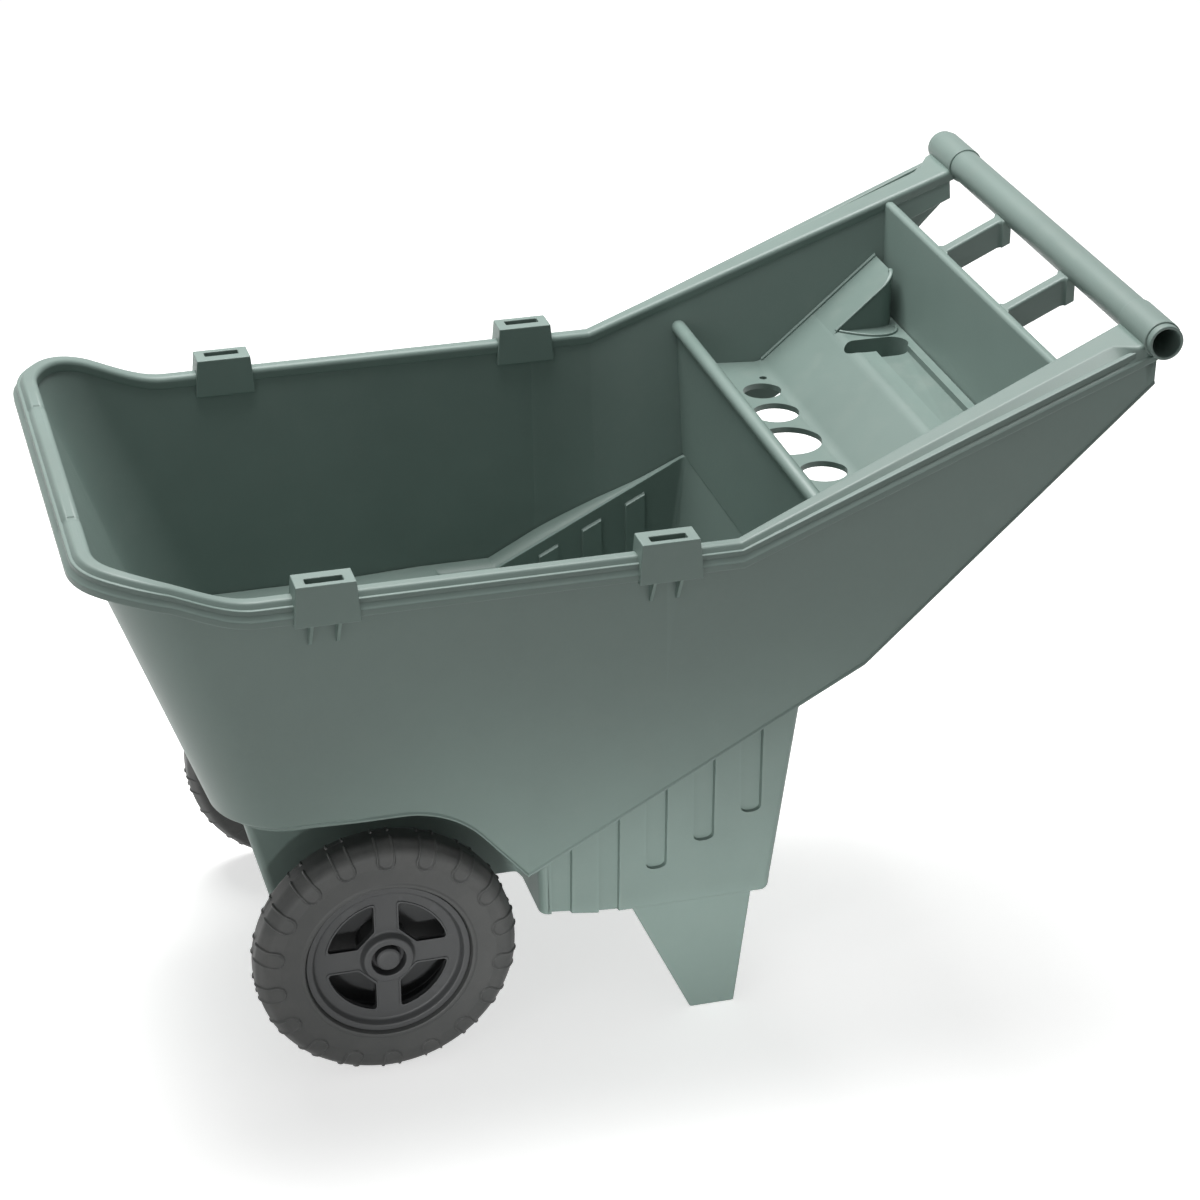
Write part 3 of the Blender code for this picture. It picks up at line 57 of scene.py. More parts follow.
Ring = list[Vector]
Pair = tuple[float, float]
Triple = tuple[float, float, float]
WELD = 1e-6
SMALLEST_ROUND = 0.0002
CORNER_ROOM = 0.47
TRIM_ROOM = 0.9
STRAIGHT_TURN = 0.02
PAST = 0.01


class Side(Enum):
    """Which side of the cart a piece belongs to."""

    LEFT = -1
    RIGHT = 1

    @property
    def label(self) -> str:
        """The word used in the names of pieces."""
        return self.name.lower()


class Body(Enum):
    """The bodies that pieces ride on."""

    CART = "cart"
    LEFT_WHEEL = "left_wheel"
    RIGHT_WHEEL = "right_wheel"


class Slot(Enum):
    """Material slots that pieces are passed with; nothing reads them."""

    BODY = "body"
    TYRE = "tyre"
    HUB = "hub"
    STEEL = "steel"


# Shader and geometry networks


class Tap:
    """One output socket that takes part in Python arithmetic."""

    def __init__(self, network: "Network", socket: bpy.types.NodeSocket) -> None:
        """Keeps the socket and the network it belongs to."""
        self.network, self.socket = network, socket

    def math(self, operation: str, *values: Any) -> "Tap":
        """One Math node fed with values in order.

        Args:
            operation: The operation's name in Blender.
            values: Taps or numbers for the node's inputs.

        Returns:
            The node's result.
        """
        sockets = dict(enumerate(values))
        return self.network.tap("ShaderNodeMath", {"operation": operation}, sockets)

    def __add__(self, other: Any) -> "Tap":
        """Sum."""
        return self.math("ADD", self, other)

    __radd__ = __add__

    def __sub__(self, other: Any) -> "Tap":
        """Difference."""
        return self.math("SUBTRACT", self, other)

    def __rsub__(self, other: Any) -> "Tap":
        """Difference with the number first."""
        return self.math("SUBTRACT", other, self)

    def __mul__(self, other: Any) -> "Tap":
        """Product."""
        return self.math("MULTIPLY", self, other)

    def __truediv__(self, other: Any) -> "Tap":
        """Quotient."""
        return self.math("DIVIDE", self, other)

    def past(self, start: float, gain: float = 1.0) -> "Tap":
        """0 up to a start, then rising by a gain to at most 1."""
        risen = (self - start) * gain
        return self.math("MINIMUM", self.math("MAXIMUM", risen, 0.0), 1.0)


class Network:
    """A node tree that is written as expressions."""

    def __init__(self, tree: bpy.types.NodeTree) -> None:
        """Wraps a node tree."""
        self.tree = tree

    def node(self, kind: str, settings: dict[str, Any] | None = None,
             sockets: dict[Any, Any] | None = None) -> bpy.types.Node:
        """One node of any type.

        Args:
            kind: The node's type.
            settings: Its own settings, set first.
            sockets: Numbers, colours or taps for its inputs, by name or index.

        Returns:
            The node.
        """
        made = self.tree.nodes.new(kind)
        for key, value in (settings or {}).items():
            setattr(made, key, value)
        self.feed(made, sockets or {})
        return made

    def feed(self, node: bpy.types.Node, sockets: dict[Any, Any]) -> None:
        """Feeds numbers, colours or taps into a node's inputs, by name or index."""
        for key, value in sockets.items():
            if isinstance(value, Tap):
                self.tree.links.new(value.socket, node.inputs[key])
            else:
                node.inputs[key].default_value = value

    def tap(self, kind: str, settings: dict[str, Any] | None = None,
            sockets: dict[Any, Any] | None = None, output: Any = 0) -> Tap:
        """One node, as the tap of one of its outputs.

        Args:
            kind: The node's type.
            settings: Its own settings.
            sockets: What its inputs get.
            output: Name or index of the output.

        Returns:
            That output.
        """
        return Tap(self, self.node(kind, settings, sockets).outputs[output])

    def noise(self, where: Tap, scale: float, detail: float = 3.0, rough: float = 0.5) -> Tap:
        """Noise over the surface.

        Args:
            where: The coordinates.
            scale: Cells per metre.
            detail: Octaves.
            rough: Weight of the finer octaves.

        Returns:
            A value near 0.5.
        """
        sockets = {"Vector": where, "Scale": scale, "Detail": detail, "Roughness": rough}
        return self.tap("ShaderNodeTexNoise", None, sockets, "Fac")

    def blend(self, share: Any, first: Any, second: Any) -> Tap:
        """Colour between two colours.

        Args:
            share: 0 gives the first colour and 1 the second.
            first: A colour or a tap.
            second: A colour or a tap.

        Returns:
            The colour.
        """
        return self.tap("ShaderNodeMix", {"data_type": "RGBA"}, {0: share, 6: first, 7: second}, 2)


def opaque(colour: Sequence[float]) -> tuple[float, float, float, float]:
    """A colour with full alpha."""
    return (colour[0], colour[1], colour[2], 1.0)


def shaded(colour: Sequence[float], share: float) -> tuple[float, float, float, float]:
    """A colour made lighter or darker by a factor."""
    return opaque([value * share for value in colour])


class Surface(Network):
    """A new material that is written as expressions."""

    def __init__(self, name: str) -> None:
        """Creates the material and its coordinates."""
        self.material = bpy.data.materials.new(name)
        self.material.use_nodes = True
        super().__init__(self.material.node_tree)
        self.shader = self.tree.nodes["Principled BSDF"]
        self.where = self.tap("ShaderNodeTexCoord", output="Object")

    def cells(self, scale: float, detail: float, rough: float) -> Tap:
        """Noise in the object's own coordinates."""
        return self.noise(self.where, scale, detail, rough)

    def worn_edges(self, gain: float) -> Tap:
        """1 on sharp outer edges and 0 on flat faces; it pales edges partly as wear and partly as a painted
        highlight.
        """
        plain_face = 0.508
        return self.tap("ShaderNodeNewGeometry", output="Pointiness").past(plain_face, gain)

    def relief(self, height: Tap, strength: float, depth: float) -> Tap:
        """The normal over a fine relief."""
        sockets = {"Height": height, "Strength": strength, "Distance": depth}
        return self.tap("ShaderNodeBump", None, sockets, "Normal")

    def grain(self, scale: float, coarser: float, weight: float) -> Tap:
        """A fine grain with a coarser one under it."""
        return self.cells(scale, 2.0, 0.5) + self.cells(scale / coarser, 2.0, 0.5) * weight


@dataclass(frozen=True)
class MouldedPlastic:
    """Injection-moulded plastic with a fine grain, cloudy colour, a little dust, and pale edges that are
    partly wear and partly a painted highlight.
    """

    name: str
    colour: Triple
    roughness: float = 0.46
    grain: float = 1500.0
    grain_depth: float = 0.00012
    grain_strength: float = 0.35
    cloud: float = 0.06
    cloud_cells: Triple = (7.0, 4.0, 0.55)
    speck_cells: Triple = (260.0, 3.0, 0.6)
    speck_light: float = 1.12
    smear_cells: Triple = (34.0, 5.0, 0.65)
    dust: float = 0.10
    dust_colour: Triple = (0.36, 0.35, 0.31)
    edge_wear: float = 0.22
    edge_light: float = 1.75
    specular: float = 0.5

    def make(self) -> bpy.types.Material:
        """Builds the material."""
        net = Surface(self.name)
        up = net.tap("ShaderNodeSeparateXYZ", None, {0: net.tap("ShaderNodeTexCoord", output="Normal")}, 2)
        clouds, specks = net.cells(*self.cloud_cells), net.cells(*self.speck_cells)
        # Paler edges: partly rubbed wear, partly a painted highlight along the edges.
        worn_and_highlit = net.worn_edges(14.0) * self.edge_wear
        settled = net.cells(*self.smear_cells).past(0.50, 3.2) * (0.35 + up.math("MAXIMUM", up, 0.0) * 0.65)
        base = net.blend((clouds - 0.3) * 2.2, shaded(self.colour, 1 - self.cloud),
                         shaded(self.colour, 1 + self.cloud))
        mottled = net.blend(specks.past(0.42) * 0.5, base, shaded(self.colour, self.speck_light))
        dusty = net.blend(settled * self.dust, mottled, opaque(self.dust_colour))
        net.feed(net.shader, {
            "Base Color": net.blend(worn_and_highlit, dusty, shaded(self.colour, self.edge_light)),
            "Roughness": self.roughness + (clouds - 0.5) * 0.16 + (specks - 0.5) * 0.10 + settled * 0.14,
            "Specular IOR Level": self.specular,
            "Normal": net.relief(net.grain(self.grain, 6.0, 0.6), self.grain_strength, self.grain_depth),
        })
        return net.material


@dataclass(frozen=True)
class WheelPlastic:
    """Blow-moulded grey wheel plastic, dustier towards the tread, with pale edges that are partly wear and
    partly a painted highlight.
    """

    name: str
    colour: Triple
    centre: Triple
    roughness: float = 0.55
    clean_radius: float = 0.082
    dusty_radius: float = 0.128
    cloud: float = 0.07
    cloud_cells: Triple = (11.0, 3.0, 0.5)
    speck_cells: Triple = (340.0, 2.0, 0.6)
    speck_light: float = 1.25
    smear_cells: Triple = (42.0, 5.0, 0.65)
    dust: float = 0.30
    dust_colour: Triple = (0.150, 0.147, 0.140)
    edge_wear: float = 0.20
    edge_light: float = 2.2
    grain: float = 1100.0
    grain_depth: float = 0.00025
    grain_strength: float = 0.4

    def make(self) -> bpy.types.Material:
        """Builds the material."""
        net = Surface(self.name)
        middle = tuple(-value for value in self.centre)
        local = net.tap("ShaderNodeVectorMath", {"operation": "ADD"}, {0: net.where, 1: middle})
        aside = net.tap("ShaderNodeVectorMath", {"operation": "MULTIPLY"}, {0: local, 1: (1, 0, 1)})
        radius = net.tap("ShaderNodeVectorMath", {"operation": "LENGTH"}, {0: aside}, "Value")
        outward = radius.past(self.clean_radius, 1 / (self.dusty_radius - self.clean_radius))
        clouds, specks = net.cells(*self.cloud_cells), net.cells(*self.speck_cells)
        # Paler edges: partly rubbed wear, partly a painted highlight on the rims and window edges.
        worn_and_highlit = net.worn_edges(12.0) * self.edge_wear
        dirt = net.cells(*self.smear_cells).past(0.42, 2.6) * (0.15 + outward * 0.85) * self.dust
        base = net.blend((clouds - 0.3) * 2.0, shaded(self.colour, 1 - self.cloud),
                         shaded(self.colour, 1 + self.cloud))
        mottled = net.blend(specks.past(0.45) * 0.6, base, shaded(self.colour, self.speck_light))
        dusty = net.blend(dirt, mottled, opaque(self.dust_colour))
        net.feed(net.shader, {
            "Base Color": net.blend(worn_and_highlit, dusty, shaded(self.colour, self.edge_light)),
            "Roughness": self.roughness + (clouds - 0.5) * 0.15 + dirt * 0.35,
            "Normal": net.relief(net.grain(self.grain, 5.0, 0.7), self.grain_strength, self.grain_depth),
        })
        return net.material


@dataclass(frozen=True)
class PlatedSteel:
    """Plated steel with drawn lines, dull patches and a little rust bloom."""

    name: str
    colour: Triple
    roughness: float = 0.34
    metallic: float = 1.0
    bloom: float = 0.12
    bloom_colour: Triple = (0.22, 0.13, 0.08)
    patch_cells: Triple = (75.0, 4.0, 0.6)
    line_cells: Triple = (60.0, 3.0, 0.6)
    line_stretch: Triple = (40.0, 1.0, 40.0)
    line_depth: float = 0.00008
    line_strength: float = 0.2

    def make(self) -> bpy.types.Material:
        """Builds the material."""
        net = Surface(self.name)
        drawn = net.tap("ShaderNodeVectorMath", {"operation": "MULTIPLY"},
                        {0: net.where, 1: self.line_stretch})
        lines = net.noise(drawn, *self.line_cells)
        dull = net.cells(*self.patch_cells).past(0.5, 4.0)
        base = net.blend(lines, shaded(self.colour, 0.85), shaded(self.colour, 1.1))
        net.feed(net.shader, {
            "Base Color": net.blend(dull * self.bloom, base, opaque(self.bloom_colour)),
            "Roughness": self.roughness + (lines - 0.5) * 0.2 + dull * 0.16,
            "Metallic": self.metallic - dull * self.bloom,
            "Normal": net.relief(lines, self.line_strength, self.line_depth),
        })
        return net.material


# Meshes


def ease(share: float) -> float:
    """A soft step from 0 to 1."""
    share = min(max(share, 0.0), 1.0)
    return share * share * (3 - 2 * share)


def lerp(first: float, second: float, share: float) -> float:
    """A number between two numbers."""
    return first + (second - first) * share


def spread(first: float, last: float, count: int) -> list[float]:
    """Evenly spaced numbers, both ends included."""
    return [lerp(first, last, step / (count - 1)) for step in range(count)]


def rounded(points: Sequence[Vector], radii: Sequence[float], steps: int, guard: float = 0.0012) -> Ring:
    """Rounds every corner of a closed outline with the same number of points.

    Args:
        points: The corners in order.
        radii: A radius for each corner.
        steps: Faces in each round.
        guard: How far outside a round its neighbours are held flat.

    Returns:
        The rounded outline.
    """
    outline = []
    count = len(points)
    for index, corner in enumerate(points):
        back, ahead = points[index - 1] - corner, points[(index + 1) % count] - corner
        room = CORNER_ROOM * min(back.length, ahead.length)
        back.normalize()
        ahead.normalize()
        half = math.acos(min(max(back.dot(ahead), -1.0), 1.0)) / 2
        slope = max(math.tan(half), WELD)
        trim = min(max(radii[index], SMALLEST_ROUND) / slope, room * TRIM_ROOM)
        reach = min(trim + guard, room)
        start, end = corner + back * trim, corner + ahead * trim
        outline.append(corner + back * reach)
        turn = math.pi - 2 * half
        if turn < STRAIGHT_TURN or trim < WELD:
            outline.extend(start.lerp(end, step / steps) for step in range(steps + 1))
        else:
            bisector = (back + ahead).normalized()
            centre = corner + bisector * (trim / math.cos(half))
            first, last = start - centre, end - centre
            for step in range(steps + 1):
                share = step / steps
                near = math.sin((1 - share) * turn) / math.sin(turn)
                far = math.sin(share * turn) / math.sin(turn)
                outline.append(centre + first * near + last * far)
        outline.append(corner + ahead * reach)
    return outline


def arc(centre: Pair, radius: float, start: float, sweep: float, steps: int) -> list[Pair]:
    """Points on an arc in a plane, both ends included.

    Args:
        centre: Its centre.
        radius: Its radius.
        start: Angle of the first point.
        sweep: Angle it covers.
        steps: Chords.

    Returns:
        The points.
    """
    turns = [start + sweep * step / steps for step in range(steps + 1)]
    return [(centre[0] + radius * math.cos(turn), centre[1] + radius * math.sin(turn)) for turn in turns]


def circle(centre: Pair, radius: float, sides: int) -> list[Pair]:
    """Points round a circle in a plane."""
    return arc(centre, radius, 0.0, 2 * math.pi, sides)[:-1]


def rectangle(x: Pair, y: Pair) -> list[Pair]:
    """The corners of a rectangle, the first side along x."""
    return [(x[0], y[0]), (x[1], y[0]), (x[1], y[1]), (x[0], y[1])]


def across(x: float, y: Pair, low: float, high: float) -> Ring:
    """A rectangle that stands across the cart, its upper corners first."""
    return [Vector((x, a, b)) for a, b in rectangle(y, (high, low))]


def flat(outline: Iterable[Pair], z: float) -> Ring:
    """An outline laid down at a height."""
    return [Vector((x, y, z)) for x, y in outline]


def flipped(ring: Iterable[Vector]) -> Ring:
    """The same points on the other side of the cart."""
    return [Vector((p.x, -p.y, p.z)) for p in ring]


def finished(bm: bmesh.types.BMesh, name: str, sharp: float = 40.0) -> bpy.types.Mesh:
    """Closes a bmesh into smooth mesh data whose faces point outwards.

    Args:
        bm: The bmesh, freed here.
        name: The mesh's name.
        sharp: Edges that turn by more degrees than this stay sharp.

    Returns:
        The mesh.
    """
    bmesh.ops.remove_doubles(bm, verts=bm.verts, dist=WELD)
    bmesh.ops.dissolve_degenerate(bm, edges=bm.edges, dist=WELD)
    bmesh.ops.recalc_face_normals(bm, faces=bm.faces)
    mesh = bpy.data.meshes.new(name)
    bm.to_mesh(mesh)
    bm.free()
    mesh.shade_smooth()
    mesh.set_sharp_from_angle(angle=math.radians(sharp))
    return mesh


def loft(name: str, rings: Sequence[Sequence[Vector]], sharp: float = 40.0) -> bpy.types.Mesh:
    """A closed solid through rings of equally many points, with both ends capped.

    Args:
        name: The mesh's name.
        rings: The rings in order.
        sharp: Edges that turn by more degrees than this stay sharp.

    Returns:
        The mesh.
    """
    bm = bmesh.new()
    rows = [[bm.verts.new(point) for point in ring] for ring in rings]
    count = len(rings[0])
    for row, following in zip(rows, rows[1:]):
        for i in range(count):
            j = (i + 1) % count
            bm.faces.new((row[i], row[j], following[j], following[i]))
    bm.faces.new(list(reversed(rows[0])))
    bm.faces.new(rows[-1])
    return finished(bm, name, sharp)


def prism(name: str, outline: Sequence[Pair], place: Callable[[float, float, float], Vector],
          low: float, high: float) -> bpy.types.Mesh:
    """An outline of (a, b) pairs pushed from low to high.

    Args:
        name: The mesh's name.
        outline: The pairs.
        place: Gives the point for (a, b, depth).
        low: First depth.
        high: Last depth.

    Returns:
        The mesh.
    """
    return loft(name, [[place(a, b, low) for a, b in outline], [place(a, b, high) for a, b in outline]])


def along_y(x: float, z: float, y: float) -> Vector:
    """A point of a profile seen from the side."""
    return Vector((x, y, z))


def along_z(x: float, y: float, z: float) -> Vector:
    """A point of a profile seen from above."""
    return Vector((x, y, z))


def new_object(name: str, mesh: bpy.types.Mesh) -> bpy.types.Object:
    """Links a mesh into the scene."""
    made = bpy.data.objects.new(name, mesh)
    bpy.context.scene.collection.objects.link(made)
    return made


def applied(piece: bpy.types.Object) -> bpy.types.Object:
    """Turns an object's modifiers into plain mesh data."""
    graph = bpy.context.evaluated_depsgraph_get()
    mesh = bpy.data.meshes.new_from_object(piece.evaluated_get(graph))
    old = piece.data
    piece.modifiers.clear()
    piece.data = mesh
    bpy.data.meshes.remove(old)
    return piece


def combined(piece: bpy.types.Object, tools: Sequence[tuple[str, bpy.types.Mesh]]) -> bpy.types.Object:
    """Runs exact Booleans on a piece.

    Args:
        piece: The piece.
        tools: Operation and mesh of each tool in order.

    Returns:
        The piece with plain mesh data.
    """
    helpers = []
    for operation, mesh in tools:
        tool = new_object("tool", mesh)
        modifier = piece.modifiers.new("shape", "BOOLEAN")
        modifier.operation = operation
        modifier.solver = "EXACT"
        modifier.object = tool
        helpers.append(tool)
    applied(piece)
    for tool in helpers:
        bpy.data.objects.remove(tool, do_unlink=True)
    return piece


def softened(piece: bpy.types.Object, width: float, segments: int = 3,
             angle: float = 35.0) -> bpy.types.Object:
    """Rounds the edges of a piece.

    Args:
        piece: The piece.
        width: Width of the round.
        segments: Faces across it.
        angle: Edges that turn by fewer degrees are left.

    Returns:
        The piece with plain mesh data.
    """
    bevel = piece.modifiers.new("round", "BEVEL")
    bevel.width = width
    bevel.segments = segments
    bevel.limit_method = "ANGLE"
    bevel.angle_limit = math.radians(angle)
    bevel.use_clamp_overlap = True
    bevel.miter_outer = "MITER_ARC"
    normals = piece.modifiers.new("normals", "WEIGHTED_NORMAL")
    normals.keep_sharp = False
    piece.data.shade_smooth()
    piece.data.set_sharp_from_angle(angle=math.radians(180))
    return applied(piece)


def taken(piece: bpy.types.Object) -> bpy.types.Mesh:
    """The mesh of a helper object, which is removed."""
    mesh = piece.data.copy()
    bpy.data.objects.remove(piece, do_unlink=True)
    return mesh


def joined(name: str, meshes: Sequence[bpy.types.Mesh]) -> bpy.types.Mesh:
    """Several closed shells in one mesh."""
    bm = bmesh.new()
    for mesh in meshes:
        bm.from_mesh(mesh)
        bpy.data.meshes.remove(mesh)
    return finished(bm, name)


@dataclass
class Bench:
    """Moves finished pieces to the frame and hands them to their bodies."""

    half_length: float
    materials: dict[str, bpy.types.Material]
    count: int = 0

    def settle(self, piece: bpy.types.Object, stands_for: Sequence[str] = (), finish: str = "body",
               body: Body = Body.CART, slot: Slot = Slot.BODY) -> None:
        """Puts a piece in its place on its body.

        Args:
            piece: The piece, drawn with the nose at x = 0.
            stands_for: CAD nodes that it replaces.
            finish: Key of its material.
            body: The body it rides on.
            slot: Not used.
        """
        piece.data.transform(Matrix.Translation((-self.half_length, 0, 0)))
        piece.data.materials.clear()
        piece.data.materials.append(self.materials[finish])
        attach(piece, body.value)
        if stands_for:
            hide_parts(*stands_for)
        self.count += 1
        LOG.info("%s on %s, %d faces", piece.name, body.value, len(piece.data.polygons))

    def dress(self, node: str, finish: str) -> None:
        """Gives a carried-over CAD node its finish."""
        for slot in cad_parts[node].material_slots:
            slot.material = self.materials[finish]
        LOG.info("%s keeps its shape, finish %s", node, finish)


class Recipe(Network):
    """A geometry node tree with named inputs that ends in Realize Instances and Set Material."""

    def __init__(self, name: str, inputs: Sequence[tuple[str, str]]) -> None:
        """Opens the tree.

        Args:
            name: The tree's name.
            inputs: Name and socket type of each input after the geometry.
        """
        super().__init__(bpy.data.node_groups.new(name, "GeometryNodeTree"))
        face = self.tree.interface
        face.new_socket("Geometry", in_out="OUTPUT", socket_type="NodeSocketGeometry")
        self.names = {}
        for label, kind in (("Geometry", "NodeSocketGeometry"), *inputs, ("Finish", "NodeSocketMaterial")):
            self.names[label] = face.new_socket(label, in_out="INPUT", socket_type=kind).identifier
        self.source = self.node("NodeGroupInput")

    def given(self, label: str) -> Tap:
        """A named input of the tree."""
        return Tap(self, self.source.outputs[label])

    def close(self, geometry: Tap) -> None:
        """Realizes the result, sets its material and ends the tree."""
        real = self.tap("GeometryNodeRealizeInstances", None, {"Geometry": geometry})
        dressed = self.tap("GeometryNodeSetMaterial", None,
                           {"Geometry": real, "Material": self.given("Finish")})
        self.node("NodeGroupOutput", None, {0: dressed})

    def run(self, piece: bpy.types.Object, values: dict[str, Any], sharp: float = 40.0) -> bpy.types.Object:
        """Runs the tree on an object.

        Args:
            piece: The object that gives the geometry.
            values: What each named input gets.
            sharp: Edges that turn by more degrees than this stay sharp.

        Returns:
            The object with plain mesh data.
        """
        modifier = piece.modifiers.new(self.tree.name, "NODES")
        modifier.node_group = self.tree
        for label, value in values.items():
            modifier[self.names[label]] = value
        applied(piece)
        bm = bmesh.new()
        bm.from_mesh(piece.data)
        old = piece.data
        piece.data = finished(bm, piece.name, sharp)
        bpy.data.meshes.remove(old)
        return piece


def turning_recipe() -> Recipe:
    """Turns a closed profile of (radius, y) points about the Y axis."""
    recipe = Recipe("turned_piece", [("Steps", "NodeSocketInt"), ("Centre", "NodeSocketVector")])
    profile = recipe.given("Geometry")
    steps = recipe.given("Steps")
    count = recipe.tap("GeometryNodeAttributeDomainSize", {"component": "MESH"}, {0: profile}, "Point Count")
    grid = recipe.tap("GeometryNodeMeshGrid", None, {"Vertices X": steps + 1.0, "Vertices Y": count}, "Mesh")
    index = recipe.tap("GeometryNodeInputIndex")
    step = recipe.tap("ShaderNodeMath", {"operation": "FLOOR"}, {0: index / count})
    place = index - step * count
    position = recipe.tap("GeometryNodeInputPosition")
    sampled = recipe.tap("GeometryNodeSampleIndex", {"data_type": "FLOAT_VECTOR"},
                         {"Geometry": profile, "Value": position, "Index": place})
    parts = recipe.node("ShaderNodeSeparateXYZ", None, {0: sampled})
    radius, height = Tap(recipe, parts.outputs[0]), Tap(recipe, parts.outputs[1])
    turn = step * (2 * math.pi) / steps
    across = radius * turn.math("COSINE", turn)
    up = radius * turn.math("SINE", turn)
    point = recipe.tap("ShaderNodeCombineXYZ", None, {0: across, 1: height, 2: up})
    shaped = recipe.tap("GeometryNodeSetPosition", None, {"Geometry": grid, "Position": point})
    closed = recipe.tap("GeometryNodeMergeByDistance", None, {"Geometry": shaped, "Distance": WELD})
    moved = recipe.tap("GeometryNodeTransform", None,
                       {"Geometry": closed, "Translation": recipe.given("Centre")})
    recipe.close(moved)
    return recipe


def ring_recipe() -> Recipe:
    """Repeats the geometry round the Y axis."""
    recipe = Recipe("pieces_round_an_axis", [("Count", "NodeSocketInt"), ("Centre", "NodeSocketVector"),
                                             ("First Turn", "NodeSocketFloat")])
    count = recipe.given("Count")
    line = recipe.tap("GeometryNodeMeshLine", None, {"Count": count, "Offset": (0.0, 0.0, 0.0)})
    turn = recipe.tap("GeometryNodeInputIndex") * (2 * math.pi) / count + recipe.given("First Turn")
    rotation = recipe.tap("ShaderNodeCombineXYZ", None, {1: turn})
    copies = recipe.tap("GeometryNodeInstanceOnPoints", None,
                        {"Points": line, "Instance": recipe.given("Geometry"), "Rotation": rotation})
    moved = recipe.tap("GeometryNodeTransform", None,
                       {"Geometry": copies, "Translation": recipe.given("Centre")})
    recipe.close(moved)
    return recipe


def places_recipe() -> Recipe:
    """Puts one copy of the geometry at each point of another object."""
    recipe = Recipe("pieces_at_places", [("Places", "NodeSocketObject")])
    spots = recipe.tap("GeometryNodeObjectInfo", None, {0: recipe.given("Places")}, "Geometry")
    copies = recipe.tap("GeometryNodeInstanceOnPoints", None,
                        {"Points": spots, "Instance": recipe.given("Geometry")})
    recipe.close(copies)
    return recipe


@dataclass
class Recipes:
    """The geometry node trees that the sub-assemblies share."""

    turning: Recipe = field(default_factory=turning_recipe)
    ring: Recipe = field(default_factory=ring_recipe)
    places: Recipe = field(default_factory=places_recipe)
    guard: float = 0.0008

    def turned(self, name: str, profile: Sequence[Triple], steps: int, centre: Vector,
               finish: bpy.types.Material) -> bpy.types.Object:
        """A turned piece with rounded corners.

        Args:
            name: The piece's name.
            profile: The closed outline's corners, as (radius, y, round).
            steps: Faces round the piece.
            centre: Where the axis stands.
            finish: The material.

        Returns:
            The piece.
        """
        corners = [Vector((radius, y, 0.0)) for radius, y, _ in profile]
        outline = rounded(corners, [corner[2] for corner in profile], 4, self.guard)
        mesh = bpy.data.meshes.new(name)
        mesh.from_pydata([*outline, outline[0]], [], [])
        piece = new_object(name, mesh)
        return self.turning.run(piece, {"Steps": steps, "Centre": centre, "Finish": finish})

    def repeated(self, name: str, mesh: bpy.types.Mesh, places: Sequence[Vector],
                 finish: bpy.types.Material) -> bpy.types.Object:
        """One object with a copy of the mesh at each place.

        Args:
            name: The piece's name.
            mesh: The shape, drawn about the origin.
            places: Where the copies stand.
            finish: The material.

        Returns:
            The piece.
        """
        cloud = bpy.data.meshes.new("places")
        cloud.from_pydata([tuple(place) for place in places], [], [])
        spots = new_object("places", cloud)
        piece = new_object(name, mesh)
        self.places.run(piece, {"Places": spots, "Finish": finish})
        bpy.data.objects.remove(spots, do_unlink=True)
        return piece


# The cart's shared shape


